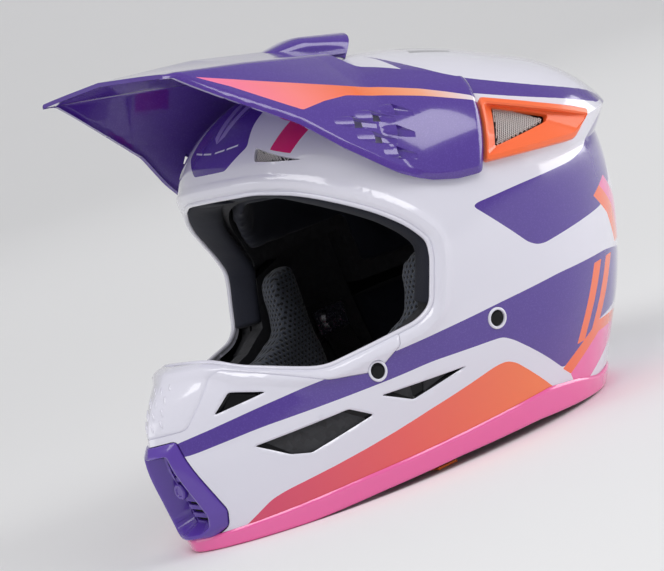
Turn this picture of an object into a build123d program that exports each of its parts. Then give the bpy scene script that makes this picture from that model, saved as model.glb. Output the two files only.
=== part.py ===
from build123d import *
import os
from math import cos, sin, pi, radians

# A motocross helmet, standing on its bottom edge. Millimetres: +X is the wearer's left, -Y the
# front, +Z up. It is laid out about a point on the table under the ears, and at the end it is
# shifted along Y, so that its origin is the bottom centre of its bounding box.

# Driving sizes.
shell_wall = 3.2
crown_height = 243.5
shoulder_height = 150.0
nested_gap = 0.4
crown_foam_depth = 27.0
side_foam_depth = 13.0
comfort_depth = 36.0
cheek_block_depth = 26.0
cheek_depth = 46.0
cheek_low = 20.0
trim_proud = 1.2
trim_depth = 6.5
eye_lip_width = 3.0
visor_wall = 2.6
visor_gap = 2.5
visor_pivot = (24.0, 186.0)
pin_radius = 4.0
running_fit = 0.07
screw_radius = 3.0
screw_y = 0.0
stud_radius = 6.4
webbing_width = 22.0
webbing_thickness = 2.0
strap_y = 34.0
anchor_z = 80.0
ring_wire = 1.6

# Levels of the shell's outside: height, front, back, half width, where it is widest, and the
# powers that draw in the nose and the nape of the outline.
levels = [
    (0.0, -175.0, 126.0, 92.0, 14.0, 1.25, 0.80),
    (30.0, -182.0, 141.0, 101.0, 24.0, 1.38, 0.80),
    (60.0, -187.0, 155.0, 110.0, 34.0, 1.58, 0.82),
    (90.0, -175.0, 166.0, 115.0, 40.0, 1.55, 0.84),
    (120.0, -136.0, 172.0, 118.0, 44.0, 1.12, 0.86),
    (150.0, -112.0, 172.0, 118.0, 46.0, 1.02, 0.88),
    (178.0, -94.0, 166.0, 113.0, 44.0, 0.92, 0.90),
    (202.0, -88.0, 146.0, 99.0, 38.0, 0.85, 0.92),
    (221.0, -72.0, 110.0, 76.0, 28.0, 0.85, 0.95),
    (234.0, -48.0, 74.0, 50.0, 18.0, 0.88, 1.0),
    (241.0, -22.0, 42.0, 26.0, 14.0, 1.0, 1.0),
]

# Outlines on the (y, z) plane, seen from the side.
eye_port = [
    (-260, 262), (-150, 210), (-91, 189), (-86, 188), (-73, 180), (-61, 170), (-46, 158), (-34, 146),
    (-27, 134), (-28, 126), (-38, 95), (-47, 90), (-71, 87), (-103, 83), (-118, 89), (-138, 99),
    (-146, 108), (-260, 118),
]
trim_top = [(-260, 5), (-165, 5), (-110, 10), (-60, 13), (10, 14), (60, 11), (260, 11)]
trim_bottom = [(260, 0), (90, 0), (60, 2), (20, 5), (-40, 5), (-90, 3), (-130, 0), (-260, 0)]
chin_seam = [(-260, 73), (-171, 73), (-151, 97), (-145, 99), (-103, 76), (-77, 71), (-62, 81), (-60, 92)]
chin_seam_far = [(-60, 130), (-260, 130)]
chin_vents = [
    [(-158, 77), (-148, 87), (-133, 81)],
    [(-147, 53), (-98, 56), (-86, 48), (-122, 39), (-132, 42)],
    [(-79, 57), (-27, 55), (-62, 48)],
]
side_vent_frame = [(39.8, 197), (21.2, 163), (91, 155), (107, 167)]
side_vent_window = [(48, 191), (36, 170), (78, 172)]
crown_foam = [(-130, 132), (60, 132), (60, 96), (200, 96), (200, 260), (-130, 260)]
side_foam = [(-44, 96), (-58.4, 26), (59, 26), (59, 95.6), (59, 131.6), (-20, 131.6)]
chin_foam = [(-200, 26), (-60.4, 26), (-60.4, 66), (-104, 70), (-128, 76), (-200, 76)]
comfort = [(-66, 188), (-22, 140), (60, 140), (62, 104), (200, 104), (200, 260), (-66, 260)]
nape = [(60.5, 15), (200, 15), (200, 88), (60.5, 88)]
cheek = [(-92, 20), (-100, 50), (-84, 78), (-52, 84), (-30, 94), (-21, 124), (4, 130), (4, 20)]
visor_side = [
    (-160, 300), (-150, 272), (-133, 270), (-73, 221), (-56, 200), (-32, 176), (-15, 165), (0, 160.5),
    (16, 159), (45, 212), (45, 300),
]

# Outlines on the (x, z) plane, seen from the front.
mouth = [(-15, 69), (15, 69), (27, 22), (24, 12), (14, 7), (-14, 7), (-24, 12), (-27, 22)]
mouth_window = [(-11, 63), (11, 63), (21, 22), (18, 14), (11, 11), (-11, 11), (-18, 14), (-21, 22)]
brow_vent = [(36, 212.5), (38, 205), (64, 199)]
rear_vent = [(18, 112), (44, 119), (40, 131), (18, 125)]

# The visor from above: the scoop's rear end, the notch beside it, and the wings.
visor_plan = [
    (0, -200), (120, -200), (150, 60), (92, 60), (90, 45), (70, 32), (50, 0), (40, -7), (27, -4),
    (22, 26), (0, 30),
]

# The visor's outside in cross-sections: y, then the crown, crease, bulge and foot as (x, z).
visor_ribs = [
    (-140, [(0, 277), (66, 273), (78, 250), (86, 226)]),
    (-73, [(0, 271), (52, 262), (76, 238), (96, 204)]),
    (-15, [(0, 260), (42, 251), (88, 215), (118, 150)]),
    (50, [(0, 247), (38, 236), (92, 206), (122, 140)]),
]
scoop_ribs = [(-26, 8, 2.5), (-8, 17, 9), (30, 22, 12)]

# Studs on the left side: centre, and the way they face in degrees from the front.
studs = [(87, -77.4, 71.5, 54.0), (111, 0.0, 75.0, 85.0)]


def outline(level, inset):
    """One horizontal outline of the shell, taken in by inset, as a face."""
    height, front, back, half_width, widest, nose, nape_power = level
    front, back, half_width = front + inset, back - inset, half_width - inset
    dome = max(0.0, height - shoulder_height) / (crown_height - shoulder_height)
    steps = 13
    right = []
    for step in range(steps + 1):
        turn = pi * step / steps
        reach, power = (widest - front, nose) if turn < pi / 2 else (back - widest, nape_power)
        bulge = sin(turn) ** power if 0 < step < steps else 0.0
        right.append((half_width * bulge, widest - reach * cos(turn), height - inset * dome))
    left = [(-x, y, z) for x, y, z in reversed(right[1:-1])]
    even = [step / (2 * steps) for step in range(2 * steps + 1)]
    return make_face(Edge.make_spline([*right, *left], periodic=True, parameters=even))


envelopes = {}


def envelope(inset):
    """The solid under the shell's outside, taken in by inset."""
    if inset not in envelopes:
        kept = [level for level in levels if level[3] - inset > 12]
        tip = Vertex(0, kept[-1][4], crown_height - inset)
        envelopes[inset] = loft([outline(level, inset) for level in kept] + [tip])
    return envelopes[inset]


def layer(outer_inset, inner_inset):
    """What lies between two depths below the shell's outside."""
    return envelope(outer_inset) - envelope(inner_inset)


def prism(plane, points, low, high, grow=0.0):
    """The outline drawn on a plane, grown by grow, and drawn out from low to high."""
    face = plane * Polygon(*points, align=None)
    if grow:
        face = offset(face, grow)
    return Pos(plane.z_dir * low) * extrude(face, high - low, dir=plane.z_dir)


def side_prism(points, grow=0.0, low=-200.0):
    """A prism across the helmet from a (y, z) outline."""
    return prism(Plane.YZ, points, low, 200.0, grow)


def front_prism(points, grow=0.0, front=-260.0, back=-110.0):
    """A prism along the helmet from an (x, z) outline."""
    return prism(Plane.XZ, points, -back, -front, grow)


def slab(x0, x1, y0, y1, z0, z1):
    """A box between two corners."""
    return Pos((x0 + x1) / 2, (y0 + y1) / 2, (z0 + z1) / 2) * Box(x1 - x0, y1 - y0, z1 - z0)


def crossbar(radius, x0, x1, y, z):
    """A round bar along X."""
    return Pos((x0 + x1) / 2, y, z) * Rot(0, 90, 0) * Cylinder(radius, x1 - x0)


def pair(*pieces):
    """The pieces and their mirror images."""
    whole = []
    for piece in pieces:
        whole += [*piece.solids(), *mirror(piece, about=Plane.YZ).solids()]
    return Compound(whole)


def whole_solids(piece):
    """The piece's solids as one compound, without slivers."""
    return Compound([solid for solid in piece.solids() if solid.volume > 20])


def cut(piece, *tools):
    """The piece less all the tools."""
    return piece - [solid for tool in tools for solid in tool.solids()]


def vent_holes(grow=0.0):
    """Everything that the vents take out of the shell."""
    holes = [side_prism(vent, grow) for vent in chin_vents]
    holes.append(side_prism(side_vent_window, grow))
    holes.append(pair(front_prism(brow_vent, grow, back=0)))
    holes.append(pair(front_prism(rear_vent, grow, front=120, back=220)))
    return holes


def stud_disc(stud, radius, low, high):
    """A disc at one stud, from low to high above the shell."""
    x, y, z, azimuth = stud
    facing = Vector(sin(radians(azimuth)), -cos(radians(azimuth)), 0)
    place = Plane(origin=(x, y, z), z_dir=facing)
    return place * Pos(0, 0, (low + high) / 2) * Cylinder(radius, high - low)


def stud_seats(grow):
    """The holes that the studs sit in, grown by grow, on both sides."""
    return [pair(stud_disc(stud, stud_radius + grow, -12, 12)) for stud in studs]


def make_shell():
    """The outer shell, with its eye port, mouth, vents and holes."""
    bores = pair(crossbar(pin_radius, 60, 150, *visor_pivot))
    below = side_prism([(-260, -9), *trim_top, (260, -9)])
    windows = [side_prism(eye_port, eye_lip_width), side_prism(chin_seam + chin_seam_far), front_prism(mouth)]
    tools = [below, *windows, *vent_holes(), *stud_seats(0.1), bores]
    return whole_solids(cut(layer(0.0, shell_wall), *tools))


def make_chin_cover():
    """The white cover over the nose of the chin bar and along the eye port's lower rim."""
    body = layer(-0.2, shell_wall) & side_prism(chin_seam + chin_seam_far, -0.3)
    return whole_solids(cut(body, side_prism(eye_port, eye_lip_width), front_prism(mouth), *stud_seats(0.1)))


def make_base_trim():
    """The trim round the bottom edge, with a flat at the chin and one at the nape to stand on."""
    line = [(y, z - 0.2) for y, z in trim_top]
    return whole_solids(layer(-trim_proud, trim_depth) & side_prism(line + trim_bottom))


def make_eye_trim():
    """The rolled lip round the eye port, above and beside it."""
    ring = side_prism(eye_port, eye_lip_width) - side_prism(eye_port)
    body = layer(-1.0, shell_wall + 2.8) & ring
    return whole_solids(body - slab(-200, 200, -260, -60, 60, 130))


def make_visor_hull(shrink):
    """The solid under the visor's top, taken in by shrink."""
    faces = []
    for y, half in visor_ribs:
        rim = [(x - shrink * min(1, x / 40), z - shrink) for x, z in half]
        rim[0] = (0, half[0][1] - shrink)
        loop = rim + [(-x, z) for x, z in reversed(rim[1:])]
        faces.append(Pos(0, y, 0) * (Plane.XZ * Polygon(*loop, align=None)))
    return loft(faces, ruled=True)


def make_scoop_hull(shrink):
    """The solid under the scoop on top of the visor, taken in by shrink."""
    faces = []
    for y, half, rise in scoop_ribs:
        floor = 262 - 0.17 * (y + 18)
        y += shrink if y < -20 else 0
        top = floor + rise - shrink
        loop = [(-half + shrink, floor - 12), (half - shrink, floor - 12), (half * 0.8 - shrink, top)]
        loop.append((-half * 0.8 + shrink, top))
        faces.append(Pos(0, y, 0) * (Plane.XZ * Polygon(*loop, align=None)))
    return loft(faces, ruled=True)


def make_visor():
    """The peak and its wings: a thin wall that clears the shell by visor_gap."""
    plan = prism(Plane.XY, visor_plan, 100, 320)
    plan += mirror(plan, about=Plane.YZ)
    outer = make_visor_hull(0.0) + envelope(-visor_gap - visor_wall)
    inner = make_visor_hull(visor_wall)
    wall = cut(outer, inner, envelope(-visor_gap))
    wall = wall & plan
    wall = wall & side_prism(visor_side)
    slot = slab(-screw_radius - 0.6, screw_radius + 0.6, screw_y - 9.2, screw_y + 7.6, 245, 270)
    sockets = pair(crossbar(pin_radius + running_fit, 90, visor_socket_floor(), *visor_pivot))
    return max(cut(wall, slot, sockets).solids(), key=lambda solid: solid.volume)


def shell_side_x(inset=0.0):
    """How far out the shell's side stands at the visor's pivot."""
    probe = crossbar(0.5, 60, 150, *visor_pivot) & envelope(inset)
    return probe.bounding_box().max.X


def visor_socket_floor():
    """How far out the pivot sockets reach into the visor's wings."""
    return shell_side_x() + visor_gap + 1.5


def make_visor_pins():
    """The snap pins that the visor tilts on, with their heads inside the shell."""
    face = shell_side_x()
    pin = crossbar(pin_radius, face - 10.6, visor_socket_floor() - 0.5, *visor_pivot)
    head = crossbar(7.0, face - 13.0, face - 10.6, *visor_pivot)
    return pair(pin + head)


def make_mouth_piece(outer_inset, inner_inset, outline_points, grow):
    """A slice of the mouthpiece between two depths."""
    return layer(outer_inset, inner_inset) & front_prism(outline_points, grow)


def make_mouth_grille():
    """The grille inside the mouthpiece, with rows of slots either side of a solid middle."""
    panel = make_mouth_piece(7.0, 9.5, mouth_window, -0.3)
    for z in (20, 28, 36, 44, 52):
        reach = 17 - 0.22 * (z - 20)
        for sign in (-1, 1):
            near, far = sorted((sign * 5, sign * reach))
            panel -= slab(near, far, -260, -110, z, z + 3.4)
    return whole_solids(panel)


def strip(points, side_low, side_high):
    """A strip of webbing whose middle line runs through (x, z) points."""
    path = Polyline(*[(x, z) for x, z in points])
    face = Plane.XZ * offset(path, webbing_thickness / 2, kind=Kind.ARC, side=Side.BOTH)
    return Pos(0, side_low, 0) * extrude(make_face(face.edges()), side_high - side_low, dir=(0, 1, 0))


def make_ring(x, top):
    """A D-ring in the plane at x: a straight bar, two arms and a round end."""
    reach, arm = webbing_width / 2 + 2.2, 6.0
    bar = Pos(x, strap_y, top) * Rot(90, 0, 0) * Cylinder(ring_wire, 2 * reach)
    bow = Pos(x, strap_y, top - arm) * Rot(0, 90, 0) * Torus(reach, ring_wire)
    ring = bar + (bow & slab(-100, 0, 0, 80, 0, top - arm))
    for y in (strap_y - reach, strap_y + reach):
        ring += Pos(x, y, top) * Sphere(ring_wire)
        ring += Pos(x, y, top - arm / 2) * Cylinder(ring_wire, arm)
    return ring


nodes = {}
nodes["outer_shell"] = make_shell()
nodes["chin_cover"] = make_chin_cover()
nodes["base_trim"] = make_base_trim()
nodes["eye_port_trim"] = make_eye_trim()

# Impact foam, against the shell.
foam_face = shell_wall + nested_gap
eye_clear = side_prism(eye_port, 7.0)
pin_pockets = pair(crossbar(7.4, 70, 150, *visor_pivot))
rivet_bores = pair(crossbar(pin_radius + 0.1, 70, 150, strap_y, anchor_z))
stud_bores = stud_seats(0.2)
crown = layer(foam_face, crown_foam_depth) & side_prism(crown_foam)
nodes["crown_impact_liner"] = whole_solids(cut(crown, eye_clear, pin_pockets))
sides = layer(foam_face, side_foam_depth) & side_prism(side_foam)
nodes["side_impact_liners"] = whole_solids(cut(sides, eye_clear, rivet_bores, *stud_bores))
chin = layer(foam_face, side_foam_depth) & side_prism(chin_foam)
nodes["chin_impact_liner"] = whole_solids(cut(chin, front_prism(mouth, 0.3, back=-90), *stud_bores))

# Comfort padding.
nodes["comfort_liner"] = whole_solids(layer(crown_foam_depth + nested_gap, comfort_depth) & side_prism(comfort))
brow_band = side_prism(eye_port, 6.7) - side_prism(eye_port, eye_lip_width + 0.2)
brow = layer(shell_wall + 3.2, crown_foam_depth) & brow_band
nodes["brow_pad"] = whole_solids(brow & slab(-200, 200, -120, 0, 136, 260))
nodes["neck_roll"] = whole_solids(layer(foam_face, crown_foam_depth) & side_prism(nape))

# Cheek pads: a foam block, its padded cover and a release tab on each side.
block = layer(side_foam_depth + 1.2, cheek_block_depth) & side_prism(cheek, low=cheek_low)
cushion = side_prism(cheek, -1.0, low=cheek_low) & envelope(cheek_block_depth + 0.3)
cushion -= envelope(cheek_depth)
tab = slab(72, 80, -52, -37, 0.8, 2.4) + slab(66, 74, -52, -37, 0.8, 2.4) + slab(66, 67.6, -52, -37, 2.4, 19.9)
for side in ("left", "right"):
    for name, piece in (("cheek_block", block), ("cheek_pad", cushion), ("cheek_release_tab", tab)):
        placed = piece if side == "left" else mirror(piece, about=Plane.YZ)
        nodes[f"{name}_{side}"] = whole_solids(placed)

# Meshes and frames in the vents.
in_shell = layer(1.0, shell_wall - 0.2)
nodes["chin_vent_inserts"] = Compound(
    [s for vent in chin_vents for s in whole_solids(in_shell & side_prism(vent, -0.1)).solids()])
nodes["side_vent_meshes"] = whole_solids(in_shell & side_prism(side_vent_window, -0.1))
nodes["brow_vent_meshes"] = whole_solids(in_shell & pair(front_prism(brow_vent, -0.1, back=0)))
nodes["rear_vent_meshes"] = whole_solids(in_shell & pair(front_prism(rear_vent, -0.1, front=120, back=220)))
frame = layer(-4.6, -0.1) & side_prism(side_vent_frame, low=0)
frame = whole_solids(frame - side_prism(side_vent_window, 1.0))
nodes["side_vent_frame_left"] = frame
nodes["side_vent_frame_right"] = mirror(frame, about=Plane.YZ)

# Studs on the sides of the chin bar.
rings = [stud_disc(stud, stud_radius, -4, 1.2) - stud_disc(stud, 4.7, -5, 2) for stud in studs]
nodes["stud_rings"] = pair(*rings)
nodes["stud_plugs"] = pair(*[stud_disc(stud, 4.6, -4, 0.5) for stud in studs])

# The visor, its pivot pins and its middle screw.
nodes["visor"] = make_visor()
scoop = cut(make_scoop_hull(0.0), make_scoop_hull(1.8), make_visor_hull(-0.2))
nodes["visor_scoop"] = max(scoop.solids(), key=lambda solid: solid.volume)
nodes["visor_pivot_pins"] = make_visor_pins()
boss = Cylinder(8, 6.4) - Pos(0, 0, 0.8) * Cylinder(screw_radius, 4.8)
nodes["visor_boss"] = Pos(0, screw_y, 246.8) * boss
shank = Pos(0, screw_y, 253.9) * Cylinder(screw_radius, 17.0)
nodes["visor_screw"] = shank + Pos(0, screw_y, 263.6) * Cylinder(5.0, 2.4)

# The mouthpiece.
nodes["mouthpiece_frame"] = whole_solids(
    make_mouth_piece(-1.6, 12.0, mouth, -0.3) - front_prism(mouth_window))
nodes["mouth_grille"] = make_mouth_grille()
nodes["mouth_filter"] = whole_solids(make_mouth_piece(9.8, 12.0, mouth_window, -0.3))

# The chin strap and its D-rings.
ring_top = 34.0
ring_spots = (-61.0, -57.0)
half = webbing_width / 2
long_run = [(93.9, 71.5), (84.0, 36.0), (52.0, 16.0), (14.0, 12.5), (-26.0, 13.5), (-48.0, 28.9), (-72.0, 28.9)]
nodes["long_webbing"] = strip(long_run, strap_y - half, strap_y + half)
short_run = [(-93.9, 71.5), (-84.0, 52.0), (-62.0, 36.0)]
short = strip(short_run, strap_y - half, strap_y + half)
short += slab(-66.4, -52.0, strap_y - half, strap_y + half, 30.6, 37.2)
for x in ring_spots:
    short -= Pos(x, strap_y, ring_top) * Rot(90, 0, 0) * Cylinder(ring_wire + running_fit, 60)
nodes["short_webbing"] = short
for x, name in zip(ring_spots, ("d_ring_outer", "d_ring_inner")):
    nodes[name] = make_ring(x, ring_top)
plate = slab(95.0, 96.8, strap_y - 12, strap_y + 12, 68, 88)
plate -= crossbar(pin_radius + running_fit, 90, 100, strap_y, anchor_z)
nodes["strap_anchor_plates"] = pair(plate)
rivet = crossbar(pin_radius, 94.2, 109.4, strap_y, anchor_z)
rivet += crossbar(6.5, 92.8, 94.8, strap_y, anchor_z)
nodes["strap_rivets"] = pair(rivet)

everything = Compound([solid for shape in nodes.values() for solid in shape.solids()])
limits = everything.bounding_box()
centre_y = (limits.min.Y + limits.max.Y) / 2
print("moved along Y by", round(-centre_y, 4))

os.makedirs("parts", exist_ok=True)
for name, shape in nodes.items():
    export_step(Pos(0, -centre_y, 0) * shape, f"parts/{name}.step")
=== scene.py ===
import math
import bmesh
import bpy
import numpy as np
from mathutils import Matrix, Vector
from mathutils.bvhtree import BVHTree


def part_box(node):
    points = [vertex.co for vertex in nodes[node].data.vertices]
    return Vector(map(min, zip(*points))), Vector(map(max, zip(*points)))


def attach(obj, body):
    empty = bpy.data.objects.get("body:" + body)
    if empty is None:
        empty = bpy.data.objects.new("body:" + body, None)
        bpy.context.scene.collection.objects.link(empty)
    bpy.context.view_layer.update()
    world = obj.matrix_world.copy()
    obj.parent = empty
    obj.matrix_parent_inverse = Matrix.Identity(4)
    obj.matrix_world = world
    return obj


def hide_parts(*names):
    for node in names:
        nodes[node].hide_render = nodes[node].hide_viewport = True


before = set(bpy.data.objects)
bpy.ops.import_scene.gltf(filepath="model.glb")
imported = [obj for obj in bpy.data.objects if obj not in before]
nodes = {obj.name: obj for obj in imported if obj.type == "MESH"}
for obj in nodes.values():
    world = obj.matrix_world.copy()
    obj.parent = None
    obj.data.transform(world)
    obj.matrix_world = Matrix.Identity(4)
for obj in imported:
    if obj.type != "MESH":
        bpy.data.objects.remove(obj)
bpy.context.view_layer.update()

# Everything below is laid out in millimetres about a point under the ears, and moved into the
# frame when its mesh is made. The visor's pins tell how far.
mm = 0.001
pinY = 24.0
pinLow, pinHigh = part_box("visor_pivot_pins")
shiftY = (pinLow.y + pinHigh.y) / 2 / mm - pinY
toFrame = Matrix.Scale(mm, 4) @ Matrix.Translation((0, shiftY, 0))


def place(x, y, z):
    return toFrame @ Vector((x, y, z))


# The shell: height, front, back, half width, widest y, nose power, nape power.
levels = np.array([
    (0.0, -175, 126, 92, 14, 1.25, 0.80),
    (30, -182, 141, 101, 24, 1.38, 0.80),
    (60, -187, 155, 110, 34, 1.58, 0.82),
    (90, -175, 166, 115, 40, 1.55, 0.84),
    (120, -136, 172, 118, 44, 1.12, 0.86),
    (150, -112, 172, 118, 46, 1.02, 0.88),
    (178, -94, 166, 113, 44, 0.92, 0.90),
    (202, -88, 146, 99, 38, 0.85, 0.92),
    (221, -72, 110, 76, 28, 0.85, 0.95),
    (234, -48, 74, 50, 18, 0.88, 1.0),
    (241, -22, 42, 26, 14, 1.0, 1.0),
    (243.3, 8, 20, 6, 14, 1.0, 1.0)])


def levelAt(v):
    i = min(int(v), len(levels) - 2)
    f = v - i
    a, b = levels[max(i - 1, 0)], levels[i]
    c, d = levels[i + 1], levels[min(i + 2, len(levels) - 1)]
    square, cube = 2 * a - 5 * b + 4 * c - d, 3 * b - a - 3 * c + d
    return 0.5 * (2 * b + (c - a) * f + square * f * f + cube * f ** 3)


def ring(v, columns):
    z, front, back, half, widest, nose, nape = levelAt(v)
    turn = np.arange(columns) * 2 * math.pi / columns
    cos, sin = np.cos(turn), np.sin(turn)
    y = widest - np.where(cos > 0, widest - front, back - widest) * cos
    bulge = np.abs(sin) ** np.where(cos > 0, nose, nape)
    return np.stack([half * bulge * np.sign(sin), y, np.full(columns, z)], 1)


def heightToV(z):
    return float(np.interp(z, [levelAt(v)[0] for v in np.linspace(0, 11, 111)], np.linspace(0, 11, 111)))


def skin(low, high, rows=90, columns=300, capped=False):
    bm = bmesh.new()
    grid = [[bm.verts.new(p) for p in ring(v, columns)] for v in np.linspace(heightToV(low),
                                                                             heightToV(high), rows)]
    for a, b in zip(grid, grid[1:]):
        for i in range(columns):
            j = (i + 1) % columns
            bm.faces.new((a[i], a[j], b[j], b[i]))
    if capped:
        tip = bm.verts.new((0, levels[-1][4], levels[-1][0] + 0.15))
        for i in range(columns):
            bm.faces.new((grid[-1][i], grid[-1][(i + 1) % columns], tip))
    bm.normal_update()
    return bm


wholeSkin = skin(0, 243.3, 110, 240, capped=True)
skinTree = BVHTree.FromBMesh(wholeSkin)


def skinHeight(point):
    at, normal, _, gap = skinTree.find_nearest(point)
    return math.copysign(gap, (Vector(point) - at).dot(normal)), normal


# Ways of looking at the skin: a point's place in the view, and back out to a plane through it.
roundRadius, roundY = 110.0, 30.0


def viewOf(kind, p, side):
    if kind == "side":
        return p[1], p[2]
    if kind in ("front", "back"):
        return p[0] * side, p[2]
    if kind == "top":
        return p[0] * side, p[1]
    return math.degrees(math.atan2(p[0] * side, roundY - p[1])), p[2]


def liftOf(kind, a, b, side):
    if kind == "side":
        return Vector((0, *a)), Vector((0, *b)), Vector((1, 0, 0))
    if kind in ("front", "back"):
        return Vector((a[0] * side, 0, a[1])), Vector((b[0] * side, 0, b[1])), Vector((0, 1, 0))
    if kind == "top":
        return Vector((a[0] * side, a[1], 0)), Vector((b[0] * side, b[1], 0)), Vector((0, 0, 1))
    ends = []
    for q in (a, b, ((a[0] + b[0]) / 2, (a[1] + b[1]) / 2)):
        turn = math.radians(q[0])
        out = Vector((side * math.sin(turn), -math.cos(turn), 0))
        at = skinTree.ray_cast(Vector((0, roundY, q[1])), out)[0]
        ends.append(at or Vector((0, roundY, q[1])) + out * roundRadius)
    return ends[0], ends[1], out


def seenIn(kind, p, side):
    if kind == "side":
        return p.x * side > -0.01
    if kind == "front":
        return p.y < -20 and p.x * side > -0.01
    if kind == "back":
        return p.y > 60 and p.x * side > -0.01
    if kind == "top":
        return p.z > 170 and p.x * side > -0.01
    return p.x * side > -0.01


def rounded(points, radius, steps=4, longest=14.0):
    turned = []
    count = len(points)
    for i, p in enumerate(points):
        p, a, b = Vector(p), Vector(points[i - 1]), Vector(points[(i + 1) % count])
        if radius <= 0:
            turned.append(p)
            continue
        r = min(radius, (a - p).length * 0.45, (b - p).length * 0.45)
        start, end = p + (a - p).normalized() * r, p + (b - p).normalized() * r
        for k in range(steps + 1):
            t = k / steps
            turned.append(start * (1 - t) ** 2 + p * 2 * t * (1 - t) + end * t * t)
    dense = []
    for a, b in zip(turned, turned[1:] + turned[:1]):
        if (b - a).length < 0.05:
            continue
        parts = max(1, math.ceil((b - a).length / longest))
        dense += [tuple(a.lerp(b, k / parts)) for k in range(parts)]
    return dense


def signedDistance(points, outline):
    p = np.asarray(points, float).reshape(-1, 2)
    a = np.asarray(outline, float)
    b = np.roll(a, -1, axis=0)
    best = np.full(len(p), 1e9)
    inside = np.zeros(len(p), bool)
    for (ax, ay), (bx, by) in zip(a, b):
        dx, dy = bx - ax, by - ay
        t = np.clip(((p[:, 0] - ax) * dx + (p[:, 1] - ay) * dy) / (dx * dx + dy * dy + 1e-12), 0, 1)
        best = np.minimum(best, np.hypot(p[:, 0] - ax - t * dx, p[:, 1] - ay - t * dy))
        crosses = (ay > p[:, 1]) != (by > p[:, 1])
        inside ^= crosses & (p[:, 0] < ax + dx * (p[:, 1] - ay) / (dy if dy else 1e-12))
    return np.where(inside, -best, best)


def grown(outline, reach):
    p = np.asarray(outline, float)
    before, after = p - np.roll(p, 1, axis=0), np.roll(p, -1, axis=0) - p
    area = np.sum(p[:, 0] * np.roll(p[:, 1], -1) - p[:, 1] * np.roll(p[:, 0], -1))
    turn = 1 if area > 0 else -1
    normal = np.stack([before[:, 1] + after[:, 1], -before[:, 0] - after[:, 0]], 1) * turn
    normal /= np.maximum(np.hypot(normal[:, 0], normal[:, 1]), 1e-9)[:, None]
    return [tuple(q) for q in p + normal * reach]


def score(bm, outline, kind, side, closed=True):
    xs, ys = [p[0] for p in outline], [p[1] for p in outline]
    margin = 5.0
    near = []
    for face in bm.faces:
        centre = face.calc_center_median()
        if seenIn(kind, centre, side):
            q = viewOf(kind, centre, side)
            if min(xs) - margin < q[0] < max(xs) + margin and min(ys) - margin < q[1] < max(ys) + margin:
                near.append(face)
    ends = outline[1:] + (outline[:1] if closed else [])
    for a, b in zip(outline, ends):
        along = Vector(b) - Vector(a)
        if along.length < 1e-6:
            continue
        lengthways = along.normalized()
        picked = []
        for face in near:
            if not face.is_valid:
                continue
            q = Vector(viewOf(kind, face.calc_center_median(), side)) - Vector(a)
            reach = math.sqrt(face.calc_area()) * 0.9 + 0.4
            t = q.dot(lengthways)
            apart = abs(q.x * lengthways.y - q.y * lengthways.x)
            if -reach < t < along.length + reach and apart < reach * 1.6:
                picked.append(face)
        if not picked:
            continue
        start, end, through = liftOf(kind, a, b, side)
        loose = {e for f in picked for e in f.edges} | {v for f in picked for v in f.verts}
        cut = bmesh.ops.bisect_plane(bm, geom=picked + list(loose), dist=0.02, plane_co=start,
                                     plane_no=(end - start).cross(through).normalized())
        known = set(near)
        near += [g for g in cut["geom"] if isinstance(g, bmesh.types.BMFace) and g not in known]


def facesIn(bm, outline, kind, side):
    seen = [f for f in bm.faces if seenIn(kind, f.calc_center_median(), side)]
    spots = [viewOf(kind, f.calc_center_median(), side) for f in seen]
    if not seen:
        return []
    return [f for f, d in zip(seen, signedDistance(spots, outline)) if d < 0]


def paint(bm, outline, kind, sides, slot):
    for side in sides:
        score(bm, outline, kind, side)
        for face in facesIn(bm, outline, kind, side):
            face.material_index = slot


def window(bm, outline, kind, sides, rings=()):
    for side in sides:
        for reach in rings:
            score(bm, grown(outline, reach), kind, side)
        score(bm, outline, kind, side)
        bmesh.ops.delete(bm, geom=facesIn(bm, outline, kind, side), context="FACES")


def keepOnly(bm, outline, kind, sides, rings=()):
    kept = set()
    for side in sides:
        for reach in rings:
            score(bm, grown(outline, -reach), kind, side)
        score(bm, outline, kind, side)
        kept |= set(facesIn(bm, outline, kind, side))
    bmesh.ops.delete(bm, geom=[f for f in bm.faces if f not in kept], context="FACES")


def raiseBy(bm, heights):
    bm.normal_update()
    normals = [v.normal.copy() for v in bm.verts]
    for v, n, h in zip(bm.verts, normals, heights):
        v.co += n * float(h)


def distances(bm, outline, kind, side):
    bm.verts.ensure_lookup_table()
    far = np.full(len(bm.verts), 99.0)
    seen = [i for i, v in enumerate(bm.verts) if seenIn(kind, v.co, side)]
    if seen:
        spots = [viewOf(kind, bm.verts[i].co, side) for i in seen]
        far[seen] = signedDistance(spots, outline)
    return far


def smoothStep(low, high, value):
    t = np.clip((value - low) / (high - low), 0, 1)
    return t * t * (3 - 2 * t)


def makePiece(bm, name, body, materials, replaced=(), inFrame=False):
    if not inFrame:
        bm.transform(toFrame)
    mesh = bpy.data.meshes.new(name)
    bm.to_mesh(mesh)
    bm.free()
    for material in materials:
        mesh.materials.append(material)
    mesh.shade_smooth()
    piece = bpy.data.objects.new(name, mesh)
    bpy.context.scene.collection.objects.link(piece)
    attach(piece, body)
    if replaced:
        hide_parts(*replaced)
    return piece


def applied(piece, *modifiers):
    for kind, settings in modifiers:
        modifier = piece.modifiers.new(kind.title(), kind)
        for key, value in settings.items():
            setattr(modifier, key, value)
    bpy.context.view_layer.update()
    evaluated = piece.evaluated_get(bpy.context.evaluated_depsgraph_get())
    mesh = bpy.data.meshes.new_from_object(evaluated)
    piece.modifiers.clear()
    old = piece.data
    piece.data = mesh
    bpy.data.meshes.remove(old)
    return piece


def sharpen(piece, angle):
    bm = bmesh.new()
    bm.from_mesh(piece.data)
    for edge in bm.edges:
        edge.smooth = edge.is_manifold and edge.calc_face_angle(0) < math.radians(angle)
    bm.to_mesh(piece.data)
    bm.free()


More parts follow.
